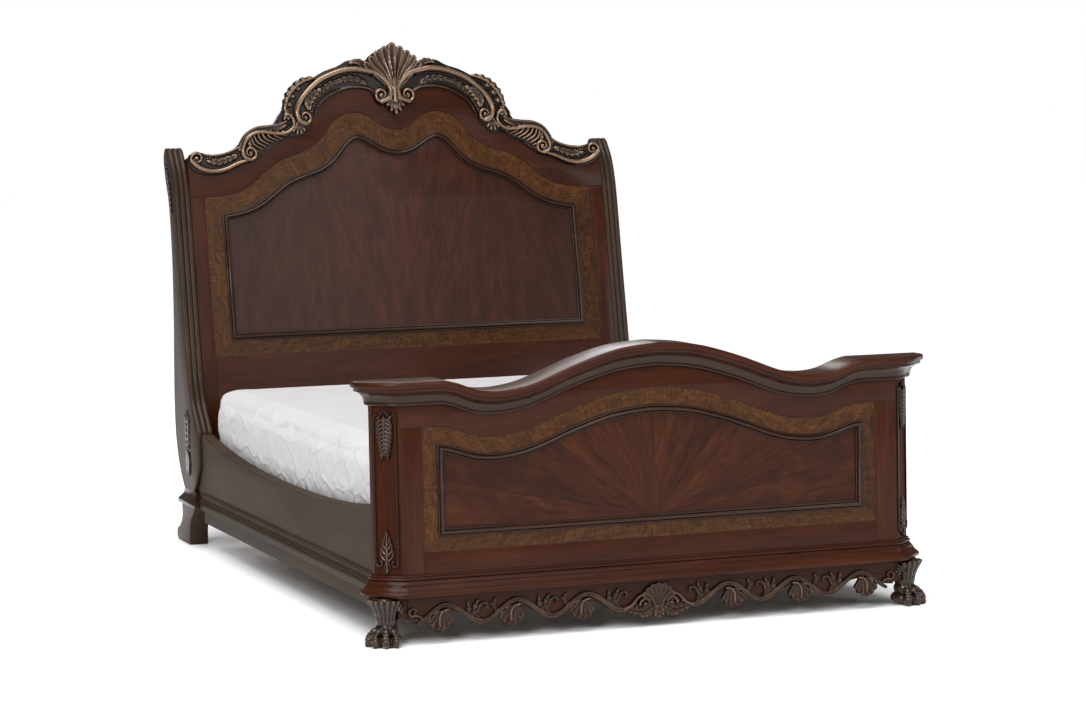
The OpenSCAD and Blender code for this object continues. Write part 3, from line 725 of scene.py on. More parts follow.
def plan_path(rear, count=121):
    """The footboard's front, cants and sides seen from above, from the left to the right."""
    xs = np.linspace(-WING_X, WING_X, count)
    cant_y = FACE_Y + SIDE_X - WING_X
    front = [(x, FACE_Y) for x in xs]
    return np.array([(-SIDE_X, rear), (-SIDE_X, cant_y)] + front
                    + [(SIDE_X, cant_y), (SIDE_X, rear)])


def plan_sweep(name, profile, level, material, replaces):
    """A moulding of (projection, height above the level) round the footboard's three sides."""
    path = plan_path(PILASTER_BACK)
    outward = -normals(path, False)
    prof = np.asarray(profile, float)
    verts = []
    for (x, y), n in zip(path, outward):
        for e, h in prof:
            verts.append((x + e * n[0], y + e * n[1], level(x) + h))
    n, m = len(path), len(prof)
    faces = grid_faces(n, m, close_cols=True)
    faces += [tuple(range(m)), tuple(range((n - 1) * m, n * m))]
    return mesh_piece(name, verts, faces, material, replaces, sharp=55)


def curve_profile(points, n=5):
    return [tuple(p) for p in spline(np.array(points, float), n)]


def cornice_cap():
    """The cap board: a rounded edge all the way round a top that follows the wave."""
    edge = np.array([(-9, 0), (-5, -0.6), (-2, -2.6), (-0.4, -6), (0, -10), (-0.4, -14),
                     (-2, -17.4), (-4.5, -19.3), (-7, -20), (-8, -22), (-8, -28), (-14, -28)]) * MM
    out_x, cut = SIDE_X + CAP_OUT, CAP_OUT * math.tan(math.radians(22.5))
    xs = np.linspace(-WING_X - cut, WING_X + cut, 121)
    cant_y = FACE_Y + SIDE_X - WING_X - cut
    front = [(x, FACE_Y - CAP_OUT) for x in xs]
    rear = [(x, CORNICE_BACK) for x in xs[::-1]]
    ring = np.array(front + [(out_x, cant_y), (out_x, CORNICE_BACK)] + rear
                    + [(-out_x, CORNICE_BACK), (-out_x, cant_y)])
    outward = -normals(ring, True)
    verts = [(x + e * n[0], y + e * n[1], wave(x) + h)
             for (x, y), n in zip(ring, outward) for e, h in edge]
    rows, m, count = len(ring), len(edge), len(xs)
    faces = grid_faces(rows, m, close_rows=True)
    for j in (0, m - 1):
        faces += [[k * m + j for k in (i, i + 1, 2 * count - i, 2 * count + 1 - i)]
                  for i in range(count - 1)]
        right = (count - 1, count, count + 1, count + 2)
        left = (2 * count + 1, 2 * count + 2, 2 * count + 3, 0)
        faces += [[k * m + j for k in right], [k * m + j for k in left]]
    mesh_piece("footboard_cornice.fine", verts, faces, mahogany["x"],
               ["footboard_cornice"], sharp=55)


cornice_cap()
cove = curve_profile([(38, -29), (31, -32), (23, -38), (17, -46), (14, -54), (13, -58)], 4)
plan_sweep("footboard_bed_moulding.fine",
           np.array([(-2, -28), (38, -28)] + cove + [(14.5, -59), (14.5, -60.5), (11, -60.5)]
                    + [(10 + 2.6 * math.sin(a), -64.3 + 3.6 * math.cos(a))
                       for a in np.linspace(0, math.pi, 7)] + [(-2, -68)]) * MM,
           wave, dark_wood["x"], ["footboard_bed_moulding"])

ogee = curve_profile([(18, 31), (20, 27), (25, 21), (31, 16), (34.2, 12), (34.6, 7), (33, 3)], 3)
plan_sweep("footboard_base_moulding.fine",
           np.array([(-2, 60), (4, 60), (5.5, 59), (6, 57), (5, 55)]
                    + [(6.5 + 4 * math.sin(a), 50 + 4.4 * math.cos(a))
                       for a in np.linspace(0, math.pi, 7)]
                    + [(9, 44), (11, 40), (14.5, 37), (15, 34), (17.5, 34)] + ogee
                    + [(29, 1), (28, 0), (-2, 0)]) * MM,
           lambda x: BASE_BOTTOM, mahogany["x"], ["footboard_base_moulding"])

# ---------------------------------------------------------------- rails

for side, name in ((-1, "left"), (1, "right")):
    refined("side_rail_" + name, SIDE[side], rail_wood, 3 * MM)
    node = "rail_moulding_" + name
    ends = sorted((side * lo(node).y, side * hi(node).y))
    rail_beads = ([(0, -2), (0, 12), (1.5, 13.5), (20, 14), (21, 11)]
                  + bead(21.5, 27, 11, 5) + bead(28, 33.5, 9.5, 5) + bead(34.5, 38.5, 7.5, 3.5)
                  + [(39.5, 5.5), (49, 5), (50, 3)] + bead(50.5, 56, 3, 4.5)
                  + [(56.5, 0.2), (60, 0.2), (60, -2)])
    sweep(node + ".fine", [(ends[0], BASE_BOTTOM), (ends[1], BASE_BOTTOM)], False,
          np.array(rail_beads) * MM + np.array([0, hi("rail_moulding_right").x - 20 * MM]),
          SIDE[side], rail_wood, [node], sharp=55)
    near, top = lo("post_collar_right").y, hi("post_collar_right").z
    tongue = np.array([(near - 8 * MM, top - 44 * MM), (near + 84 * MM, top - 44 * MM),
                       (near + 84 * MM, top + 2 * MM), (near - 8 * MM, top + 2 * MM)])
    plate("rail_tongue_" + name, [tongue * (side, 1)], 3 * MM - RAIL_OUT,
          -lo("side_rail_right").x - 3 * MM, SIDE[side], rail_wood)

# ---------------------------------------------------------------- posts

REED_DEPTH = 5 * MM


def smooth_loop(loop, step):
    """A closed outline resampled evenly between its corners."""
    runs = flow(loop, 0.5 * MM, 4, 40, 1)
    return np.vstack([resample(run, step)[:-1] for run in runs])


def headboard_post(side, name):
    """A scrolled post whose front edge carries three reeds over the rolled top."""
    plane = SIDE[side]
    loops, front, _ = front_loops("headboard_post_" + name, plane)
    ring = smooth_loop(loops[0], 7 * MM)
    outward = -normals(ring, True)
    reeds, per = 3, 10
    w = np.linspace(0, reeds, reeds * per + 1)
    sunk = REED_DEPTH * (1 - np.sqrt(np.maximum(0, 1 - (2 * (w % 1.0) - 1) ** 2)))
    sunk[-1] = REED_DEPTH
    facing = outward[:, 0] * side
    height = ring[:, 1]
    reach = np.clip((0.35 - facing) / 0.5, 0, 1)
    reach[height < BASE_TOP + 2 * MM] = 0
    width = hi("headboard_post_right").x - POST_IN
    verts = []
    for j, across in enumerate(w / reeds):
        moved = ring - outward * (sunk[j] * reach + 0.6 * MM * (1 - reach))[:, None]
        verts.append(plane.put(moved[:, 0], moved[:, 1], np.full(len(ring), front + across * width)))
    n = len(ring)
    faces = grid_faces(len(w), n, close_cols=True)
    faces += [tuple(range(n)), tuple(range((len(w) - 1) * n, len(w) * n))]
    mesh_piece("headboard_post_%s.fine" % name, np.vstack(verts), faces,
               post_wood, ["headboard_post_" + name], sharp=50)


def rounded_rect(x0, x1, y0, y1, r, n=5):
    corners = ((x1 - r, y1 - r, 0), (x0 + r, y1 - r, 90), (x0 + r, y0 + r, 180), (x1 - r, y0 + r, 270))
    return np.vstack([arc_points(cx, cy, r, a, a + 90, n) for cx, cy, a in corners])


def post_collar(side, name):
    """An ogee collar that spreads from the post's foot to the scroll foot below."""
    node = "post_collar_" + name
    a, b = lo(node), hi(node)
    inner, outer = sorted((abs(a.x), abs(b.x)))
    spread = [(0, 1.0), (2, 0.0), (12, 0.0), (14, 1.5), (16, 3.5), (19, 5), (24, 10), (30, 15),
              (36, 17.5), (42, 18.2), (46, 19), (50, 19.5)]
    verts = []
    for z, pulled in spread:
        t = pulled / 19.5
        ring = rounded_rect(inner, outer - pulled * MM, a.y + 78 * MM * t ** 1.2,
                            b.y - 22 * MM * t, 3 * MM)
        verts += [(side * x, y, a.z + z * MM) for x, y in ring]
    m = len(ring)
    faces = grid_faces(len(spread), m, close_cols=True)
    faces += [tuple(range(m)), tuple(range((len(spread) - 1) * m, len(spread) * m))]
    mesh_piece(node + ".fine", verts, faces, dark_wood["y"], [node], sharp=40)


for side, name in ((-1, "left"), (1, "right")):
    headboard_post(side, name)
    post_collar(side, name)
    refined("scroll_foot_" + name, SIDE[side], post_wood, 4 * MM)

# ---------------------------------------------------------------- carved reliefs


def blurred(field, mask, times):
    """The field averaged with its neighbours inside the mask, a number of times."""
    out, weight = field * mask, mask.astype(float)
    for _ in range(times):
        for axis in (0, 1):
            out = out + np.roll(out, 1, axis) + np.roll(out, -1, axis)
            weight = weight + np.roll(weight, 1, axis) + np.roll(weight, -1, axis)
        out, weight = out / 9, weight / 9
    return np.where(mask, out / np.maximum(weight, 1e-9), 0)


class Relief:
    """A carving drawn in millimetres as a height field over a drawing plane."""

    def __init__(self, u0, u1, v0, v1, step=2.0):
        self.step = step
        self.u = np.arange(u0, u1 + step, step)
        self.v = np.arange(v0, v1 + step, step)
        self.height = np.full((len(self.v), len(self.u)), -1.0)

    def fill(self, loop, height):
        """A flat ground inside an outline."""
        uu, vv = np.meshgrid(self.u, self.v)
        inside = np.zeros(uu.shape, bool)
        for (x0, y0), (x1, y1) in zip(loop, np.roll(loop, -1, 0)):
            rise = y1 - y0 if abs(y1 - y0) > 1e-9 else 1e-9
            inside ^= ((y0 > vv) != (y1 > vv)) & (uu < (x1 - x0) * (vv - y0) / rise + x0)
        self.height = np.maximum(self.height, np.where(inside, height, -1))

    def dab(self, x, y, r, base, rise):
        """A round button."""
        i0, i1 = np.searchsorted(self.v, (y - r, y + r))
        j0, j1 = np.searchsorted(self.u, (x - r, x + r))
        d = ((self.u[j0:j1] - x)[None] ** 2 + (self.v[i0:i1] - y)[:, None] ** 2) / r ** 2
        part = self.height[i0:i1, j0:j1]
        np.maximum(part, np.where(d < 1, base + rise * np.sqrt(np.maximum(0, 1 - d)), -1), out=part)

    def stroke(self, points, r0, r1, base, rise, smooth=6):
        """A round stem that tapers from one radius to another."""
        path = resample(spline(points, smooth) if smooth else points, self.step / 2)
        for (x, y), t in zip(path, np.linspace(0, 1, len(path))):
            r = r0 + (r1 - r0) * t
            self.dab(x, y, r, base, rise * (r / max(r0, r1)) ** 0.5)

    def ribbon(self, points, half, section, lean=0.0, sides=(-1, 1)):
        """A strip along a path: half(t) is its half width and section(s, t) its height."""
        path = resample(spline(points, 8), self.step / 3)
        side = normals(path, False)
        ahead = np.stack([side[:, 1], -side[:, 0]], 1)
        t = np.linspace(0, 1, len(path))[:, None]
        wide = half(t)
        s = np.linspace(*sides, max(5, int(np.ptp(sides) * wide.max() / self.step * 3)))[None]
        at = (path[:, None] + side[:, None] * (s * wide)[..., None]
              + ahead[:, None] * (lean * wide * np.abs(s) ** 1.5)[..., None])
        j = np.round((at[..., 0] - self.u[0]) / self.step).astype(int)
        i = np.round((at[..., 1] - self.v[0]) / self.step).astype(int)
        ok = (i >= 0) & (j >= 0) & (i < len(self.v)) & (j < len(self.u))
        values = np.broadcast_to(section(s, t), ok.shape)
        np.maximum.at(self.height, (i[ok], j[ok]), values[ok])

    def leaf(self, points, width, base, rise, lobes=5, sides=(-1, 1), lean=0.55, belly=0.8):
        """An acanthus leaf with scalloped edges, fluted lobes and a sunk midrib."""
        def half(t):
            body = np.sin(np.pi * np.clip(0.06 + 0.93 * t, 0, 1) ** belly)
            return width * np.maximum(body, 0) ** 0.6 * (0.70 + 0.30 * np.abs(np.sin(np.pi * lobes * t)))

        def section(s, t):
            flute = np.abs(np.sin(np.pi * lobes * t)) ** 0.7
            edge = np.abs(s)
            cut = 1 - 0.45 * np.clip(edge * 1.3, 0, 1) * (1 - flute)
            return base + rise * (1 - 0.5 * edge ** 2.5) * cut * (1 - 0.38 * np.exp(-(s / 0.13) ** 2))

        self.ribbon(points, half, section, lean, sides)

    def flute(self, start, end, r0, r1, base, rise):
        """One hollow lobe of a shell, with raised edges and a rounded tip."""
        def half(t):
            tip = np.clip(1 - (np.maximum(t - 0.88, 0) / 0.12) ** 2.6, 0, 1) ** 0.5
            return np.maximum((r0 + (r1 - r0) * t ** 1.1) * tip, 0.6)

        def section(s, t):
            return base + rise * (1 - np.abs(s) ** 9) * (0.60 + 0.40 * s * s + 0.22 * t ** 4)

        self.ribbon([start, end], half, section)

    def volute(self, x, y, r, a0, turns, thick, base, rise):
        """A spiral that winds inward from a start angle, in degrees, to a button."""
        n = max(12, int(abs(turns) * 28))
        k = np.linspace(0, 1, n)
        a = np.radians(a0 + 360 * turns * k)
        reach = r * (1 - 0.80 * k)
        path = np.stack([x + reach * np.cos(a), y + reach * np.sin(a)], 1)
        self.stroke(path, thick, thick * 0.55, base, rise, 0)
        self.dab(x, y, r * 0.30, base, rise * 1.05)

    def build(self, name, plane, material, replaces, side=1, back=4.0, place=None, level=10):
        """Turns the drawing into a closed mesh; side -1 mirrors it."""
        solid = self.height > 0.2
        field = np.where(solid, self.height, 0)
        field = 0.45 * field + 0.55 * blurred(field, solid, 1)
        # rise: lighter on crests and higher parts, darker in hollows and on the ground; painted
        # highlight and painted shade besides the bronze rubbing
        relief = (field - blurred(field, solid, 6)) / 3.6 + 0.36 + 0.020 * (field - level)
        quad = solid[:-1, :-1] & solid[1:, :-1] & solid[:-1, 1:] & solid[1:, 1:]
        cols = len(self.u)
        i, j = np.nonzero(quad)
        corner = i * cols + j
        quads = np.stack([corner, corner + 1, corner + cols + 1, corner + cols], 1)
        used, flat = np.unique(quads, return_inverse=True)
        quads = flat.reshape(-1, 4)
        n = len(used)
        uv = np.stack([self.u[used % cols], self.v[used // cols]], 1)
        high = field.ravel()[used]
        starts, ends = quads.ravel(), np.roll(quads, -1, 1).ravel()
        edge = starts * n + ends
        rim = ~np.isin(edge, ends * n + starts)
        a, b = starts[rim], ends[rim]
        count = np.bincount(a, minlength=n) + np.bincount(b, minlength=n)
        for _ in range(6):
            total = np.zeros((n, 2))
            np.add.at(total, a, uv[b])
            np.add.at(total, b, uv[a])
            move = count > 0
            uv[move] = 0.5 * uv[move] + 0.5 * total[move] / count[move][:, None]
        u, v = uv[:, 0] * MM * side, (place(uv[:, 1] * MM) if place else uv[:, 1] * MM)
        verts = np.vstack([plane.put(u, v, -high * MM), plane.put(u, v, np.full(n, back * MM))])
        faces = np.vstack([quads, quads[:, ::-1] + n, np.stack([b, a, a + n, b + n], 1)])
        rise = np.clip(np.concatenate([relief.ravel()[used], np.zeros(n)]), 0, 1)
        return mesh_piece(name, verts, faces, material, replaces, 60, {"rise": rise})


def head_outline(node):
    """A crest node's outline as places across the bed and heights above the floor, in mm."""
    loops, _, _ = front_loops(node, HEAD)
    return np.stack([loops[0][:, 0], loops[0][:, 1] * math.cos(LEAN) + HEAD_ORIGIN_Z], 1) / MM


def crest_arch(side, name):
    """The big scroll from the shell down to the shoulder, with its cove and fronds."""
    r = Relief(8, 432, 1385, 1672)
    r.fill(head_outline("crest_arch_right"), 6)
    r.fill(np.array([(20, 1600), (34, 1514), (62, 1514), (84, 1545), (110, 1600)]), 6)
    r.fill(np.array([(256, 1592), (300, 1598), (340, 1580), (378, 1546), (402, 1503), (412, 1462),
                     (366, 1452), (350, 1500), (310, 1556), (270, 1588)]), 6)
    cove = [(66, 1540), (97, 1559), (154, 1564), (209, 1550), (263, 1519), (287, 1493), (297, 1468)]
    r.stroke(cove, 4.5, 4.5, 5, 5)
    r.leaf([(100, 1574), (138, 1592), (184, 1592), (228, 1574)], 12, 6, 6, 6)
    r.leaf([(196, 1585), (230, 1578), (262, 1556), (282, 1530)], 11, 6, 6, 5)
    for a, b in (((344, 1560), (372, 1568)), ((366, 1534), (394, 1540)), ((380, 1506), (410, 1508))):
        r.leaf([a, b], 10, 5, 11, 3)
    r.leaf([(318, 1484), (316, 1510), (296, 1540), (268, 1560)], 17, 6, 12, 5)
    r.leaf([(330, 1500), (322, 1528), (300, 1552)], 9, 9, 10, 4)
    for x, z in ((308, 1480), (304, 1490), (299, 1500), (293, 1509)):
        r.dab(x, z, 3.4, 7, 5)
    r.leaf([(292, 1594), (338, 1578), (376, 1545), (398, 1505), (404, 1462)], 22, 5, 15, 8,
           (0, 1), 0.3)
    r.leaf([(96, 1640), (118, 1652), (140, 1653), (158, 1646)], 11, 5, 11, 4)
    r.stroke([(112, 1636), (132, 1647), (156, 1650)], 4, 5, 8, 8)
    for tip in ((338, 1412), (352, 1401), (368, 1400), (384, 1409)):
        r.leaf([(358, 1450), ((358 + tip[0]) / 2, 1428), tip], 8, 6, 12, 3)
    scroll = [(50, 1509), (24, 1519), (14, 1542), (17, 1566), (32, 1587), (64, 1610), (121, 1625),
              (159, 1626), (196, 1620), (233, 1608), (269, 1592), (298, 1571), (326, 1545),
              (347, 1520), (360, 1495), (363, 1471), (353, 1446), (336, 1438)]
    r.stroke(scroll, 10.5, 11, 10, 14)
    r.volute(48, 1534, 25, -90, 1.35, 8.5, 9, 13)
    r.volute(334, 1460, 22, -90, -1.3, 7.5, 9, 12)
    r.build("crest_arch_%s.fine" % name, HEAD, gilt, ["crest_arch_" + name],
            side, place=up)


def crest_arm(side, name):
    """The shoulder's leafy scroll and the swag that runs out to the post."""
    r = Relief(360, 776, 1255, 1484)
    r.fill(head_outline("crest_arm_right"), 7)
    r.fill(np.array([(372, 1420), (396, 1396), (460, 1360), (520, 1318), (560, 1318), (580, 1360),
                     (540, 1410), (470, 1424), (410, 1440), (398, 1470), (378, 1450)]), 6)
    low = spline([(392, 1404), (424, 1389), (455, 1375), (486, 1362), (508, 1344), (516, 1330)], 6)
    high = spline([(420, 1412), (462, 1416), (498, 1414), (526, 1402), (543, 1384), (545, 1366)], 6)
    for k in range(0, len(low) - 1, 3):
        a, b = low[k], high[k]
        middle = (a + b) / 2 + np.array([8.0, -5.0])
        r.stroke([a, middle, b], 3.2, 6.5, 7, 12)
    r.leaf([(404, 1436), (446, 1422), (494, 1422), (540, 1404), (566, 1370)], 12, 8, 9, 3)
    r.stroke([(404, 1448), (430, 1437), (474, 1431), (516, 1426), (550, 1408), (573, 1376),
              (580, 1352)], 5, 6, 9, 10)
    ring = [(412, 1456), (404, 1470), (388, 1466), (378, 1449), (380, 1431), (391, 1416),
            (413, 1406), (447, 1405), (486, 1411), (522, 1408), (548, 1393), (563, 1370),
            (570, 1346), (562, 1324), (543, 1316)]
    r.stroke(ring, 7, 8.5, 11, 13)
    r.leaf([(396, 1452), (398, 1470), (404, 1488)], 13, 6, 14, 4)
    r.volute(543, 1340, 24, -90, -1.35, 7.5, 10, 13)
    r.stroke([(574, 1366), (611, 1348), (649, 1337), (687, 1335), (715, 1341), (733, 1346)],
             4.5, 4, 8, 8)
    r.leaf([(588, 1334), (624, 1320), (660, 1310), (700, 1316)], 13, 6, 9, 6)
    for k in range(9):
        x = 620 + 9.5 * k
        r.dab(x, 1326 - 9 * math.sin(math.pi * k / 8) + 4 * (k % 2), 4.2, 8, 7)
    r.stroke([(556, 1314), (592, 1304), (628, 1288), (664, 1280), (700, 1283), (730, 1296),
              (752, 1316)], 8, 9.5, 9, 14)
    r.volute(734, 1325, 23, -20, 1.3, 7.5, 10, 13)
    r.build("crest_arm_%s.fine" % name, HEAD, gilt, ["crest_arm_" + name],
            side, place=up)


def crest_shell():
    """Nine hollow lobes over a gathered waist, with a small fringe below."""
    r = Relief(-124, 124, 1455, 1730)
    tips = [(0, 1717), (31, 1704), (59, 1688), (84, 1670), (104, 1648)]
    for k, (x, z) in enumerate(tips):
        for s in (-1, 1) if x else (1,):
            foot = (s * 2.2 * k, 1556 - 2 * k)
            r.flute(foot, (s * x, z), 3.0, 18.0 - 0.9 * k, 12 - k, 15)
            r.dab(s * x * 0.985, 1556 + 0.975 * (z - 1556), 7.5, 17 - k, 10)
    for k in range(5):
        for s in (-1, 1):
            near, far = tips[k], tips[min(k + 1, 4)]
            x, z = 0.5 * (near[0] + far[0]) * 0.86, 1556 + 0.86 * (0.5 * (near[1] + far[1]) - 1556)
            if k < 4:
                r.stroke([(s * 2 * k, 1550), (s * x * 0.45, 1556 + 0.5 * (z - 1556)), (s * x, z)],
                         3.6, 2.6, 14 - k, 14, 4)
    r.stroke([(0, 1580), (0, 1548), (0, 1512)], 9, 11, 14, 13)
    for s in (-1, 1):
        r.stroke([(s * 6, 1590), (s * 9, 1552), (s * 16, 1516)], 4, 5.5, 12, 11)
        r.stroke([(s * 12, 1600), (s * 17, 1556), (s * 30, 1518)], 3.5, 5, 10, 9)
        r.leaf([(s * 6, 1528), (s * 20, 1504), (s * 33, 1494)], 10, 8, 12, 3)
        r.leaf([(s * 4, 1522), (s * 12, 1494), (s * 19, 1473)], 9, 9, 13, 3)
        r.dab(s * 19, 1478, 5.5, 10, 10)
        r.dab(s * 34, 1500, 5, 9, 9)
    r.leaf([(0, 1524), (0, 1492), (0, 1461)], 11, 10, 14, 3)
    r.dab(0, 1470, 6.5, 11, 12)
    r.build("crest_shell.fine", HEAD, gilt, ["crest_shell"], back=4.0, place=up)


def apron_vine(side, name):
    """A vine that rises and falls three times, with hanging acanthus leaves and sprigs."""
    r = Relief(84, 752, 30, 134)
    trough, turn = 112, 211

    def stem(x):
        return 82 - 27 * math.cos(2 * math.pi * (x - trough) / turn)

    for k in range(3):
        top, low = trough + turn * (k + 0.5), trough + turn * k
        for x, z, w in ((-14, 60, 9), (-2, 45, 11), (17, 38, 12), (36, 44, 11), (51, 58, 9)):
            r.flute((top + 6 + 0.25 * x, 92), (top + x, z), 5.0, w, 2.5, 9)
        r.stroke([(top - 8, 96), (top + 10, 92), (top + 20, 74), (top + 18, 50)], 3.4, 2.0, 8, 5)
        r.stroke([(top + 30, 92), (top + 44, 86), (top + 50, 72), (top + 42, 66)], 4.5, 3, 4, 7)
        r.leaf([(low + 14, 58), (low + 36, 80), (low + 40, 117)], 9, 1.5, 7, 4)
        r.leaf([(low + 6, 62), (low + 22, 88), (low + 8, 119)], 8.5, 1.5, 7, 4)
        r.stroke([(low + 12, 84), (low + 2, 104), (low - 12, 106), (low - 16, 95), (low - 9, 91)],
                 5.5, 3.5, 2, 7)
        r.leaf([(low - 46, 84), (low - 36, 98), (low - 44, 119)], 7.5, 1.5, 6, 3)
        r.dab(low - 28, 104, 5, 1.5, 6)
    xs = np.arange(92, 724, 6.0)
    r.stroke([(x, stem(x)) for x in xs], 8.5, 6.5, 2.5, 7, 2)
    for shift in (4.5, -3.5):
        r.stroke([(x, stem(x) + shift) for x in xs], 3.4, 2.8, 6.5, 4.0, 2)
    r.stroke([(706, stem(706)), (722, 84), (742, 84), (748, 96), (738, 106), (726, 98), (733, 91)],
             5, 3.4, 2, 8)
    r.build("apron_vine_%s.fine" % name, FOOT, carved_red, ["apron_vine_" + name],
            side, level=6)


def apron_shell():
    """A seven-lobed fan between two C-scrolls, over scalloped leaves and a drop."""
    r = Relief(-110, 110, 18, 136)
    for s in (-1, 1):
        r.leaf([(s * 20, 66), (s * 46, 48), (s * 74, 50), (s * 104, 60)], 20, 2, 9, 6)
        r.leaf([(s * 14, 54), (s * 34, 40), (s * 56, 32)], 14, 2, 10, 4)
        r.stroke([(s * 10, 54), (s * 20, 84), (s * 40, 96), (s * 62, 88), (s * 84, 66),
                  (s * 108, 56)], 5, 6, 4, 9)
        r.volute(s * 40, 68, 17, 90 - s * 90, s * 1.2, 5, 4, 9)
    for k in range(-3, 4):
        a = math.radians(90 + 21 * k)
        r.flute((1.5 * k, 68), (54 * math.cos(a) * -1, 74 + 53 * math.sin(a)), 2.5, 9.5, 4, 10)
    for x, z, w in ((-12, 30, 7), (12, 30, 7), (0, 24, 9)):
        r.leaf([(x * 0.4, 64), (x * 0.8, 46), (x, z)], w, 4, 10, 3)
    r.build("apron_shell.fine", FOOT, carved_red, ["apron_shell"], level=8)


def cant_plane(side):
    """The plane of a footboard corner's canted face; u runs to the right as seen from outside."""
    slant = math.sqrt(0.5)
    middle = (WING_X + SIDE_X) / 2
    return Plane((side * middle, FACE_Y + (SIDE_X - WING_X) / 2, 0), (slant, side * slant, 0),
                 (0, 0, 1), (-side * slant, slant, 0))


def joined(name, pieces, replaces):
    """Several meshes as one piece."""
    with bpy.context.temp_override(active_object=pieces[0], selected_editable_objects=pieces):
        bpy.ops.object.join()
    pieces[0].name = name
    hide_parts(*replaces)
    return pieces[0]


def pilaster_drop(side):
    """A hanging acanthus drop above and a palmette below, joined by the beads of a sunk panel."""
    r = Relief(-39, 39, 196, 668, 1.4)
    for s in (-1, 1):
        r.stroke([(s * 19, 640), (s * 27, 648), (s * 34, 640), (s * 35, 620)], 3, 2.6, 1.5, 4)
        r.stroke([(s * 35, 620), (s * 35, 440), (s * 35, 244)], 2.6, 2.6, 1.5, 3.5)
        r.stroke([(s * 35, 244), (s * 33, 228), (s * 22, 222), (s * 15, 231), (s * 21, 240)],
                 2.8, 3.2, 1.8, 5)
        r.stroke([(0, 660), (s * 11, 648), (s * 19, 640)], 2.6, 3.2, 1.5, 5)
        r.dab(s * 18, 639, 5.5, 2, 6)
        for k in range(9):
            z, wide = 636 - 11.5 * k, 25 - 0.22 * k * k
            r.stroke([(s * 3, z), (s * wide * 0.62, z - 6), (s * wide, z - 20)], 4.8, 2.8, 2.6, 6.5)
            r.stroke([(s * 3, z - 5), (s * wide * 0.55, z - 11), (s * wide * 0.86, z - 22)], 2.6, 1.8,
                     2, 4)
        for k in range(3):
            z = 246 + 17 * k
            r.stroke([(s * 3, z - 8), (s * (17 - 3 * k), z + 4), (s * (21 - 5 * k), z + 24)], 4.2,
                     2.6, 2, 6)
        r.stroke([(s * 2, 286), (s * 7, 302), (s * 3, 318)], 4, 2.2, 2, 5)
        r.stroke([(s * 3, 236), (s * 9, 222), (s * 5, 210)], 4, 2.4, 2, 5)
    r.fill(np.array([(-22, 636), (22, 636), (23, 610), (19, 580), (12, 550), (0, 528), (-12, 550),
                     (-19, 580), (-23, 610)]), 1.6)
    r.fill(np.array([(-12, 234), (12, 234), (17, 262), (12, 290), (0, 318), (-12, 290),
                     (-17, 262)]), 1.6)
    r.stroke([(0, 640), (0, 590), (0, 532)], 5.0, 2.4, 5, 5.5)
    r.stroke([(0, 206), (0, 250), (0, 322)], 4.0, 2.0, 4, 5)
    return r.build("pilaster_drop_%d" % side, cant_plane(side), carved_red, (),
                   level=6)


def post_drop(side):
    """A leaf strip below each post's rolled top, and an oval acanthus drop low on the face."""
    edge = side * hi("headboard_post_right").x
    plane = Plane((edge, lo("post_carvings").y, 0), (0, side, 0), (0, 0, 1), (-side, 0, 0))
    r = Relief(-8, 282, 240, 1352)
    middle = 32
    r.fill(np.array([(middle + 33 * math.cos(q), 360 + 108 * math.sin(q))
                     for q in np.linspace(0, 2 * math.pi, 49)[:-1]]), 0.8)
    for s in (-1, 1):
        for k in range(5):
            z, wide = 436 - 20 * k, 24 + 3 * k - 0.9 * k * k
            r.leaf([(middle + s * 2, z - 14), (middle + s * wide * 0.6, z - 4),
                    (middle + s * wide, z + 14)], 8, 1, 5, 3)
            r.leaf([(middle + s * 2, 298 - 14 * k + 28), (middle + s * (20 - 2 * k), 300 - 14 * k),
                    (middle + s * (27 - 4 * k), 282 - 14 * k)], 7.5, 1, 5, 3)
        r.volute(middle + s * 14, 338, 12, 90, s * 1.1, 4, 2, 4)
    r.stroke([(middle, 464), (middle, 400), (middle, 340), (middle, 256)], 4, 3, 3, 4)
    r.leaf([(170, 1130), (188, 1205), (214, 1272), (252, 1330)], 15, 1, 5, 11)
    return r.build("post_drop_%d" % side, plane, carved_dark, (), side, back=1.5,
                   level=3)


for side, name in ((-1, "left"), (1, "right")):
    crest_arch(side, name)
    crest_arm(side, name)
    apron_vine(side, name)
crest_shell()
apron_shell()
joined("pilaster_carvings.fine", [pilaster_drop(side) for side in (-1, 1)], ["pilaster_carvings"])
joined("post_carvings.fine", [post_drop(side) for side in (-1, 1)], ["post_carvings"])

# ---------------------------------------------------------------- paw feet


def evaluated(obj, *modifiers):
    """The object's mesh with the given modifiers applied: pairs of kind and settings."""
    for kind, settings in modifiers:
        made = obj.modifiers.new(kind.lower(), kind)
        for key, value in settings.items():
            setattr(made, key, value)
    bpy.context.view_layer.update()
    mesh = bpy.data.meshes.new_from_object(obj.evaluated_get(bpy.context.evaluated_depsgraph_get()))
    obj.modifiers.clear()
    obj.data = mesh
    return mesh


def coordinates(mesh):
    co = np.empty(len(mesh.vertices) * 3)
    mesh.vertices.foreach_get("co", co)
    return co.reshape(-1, 3)


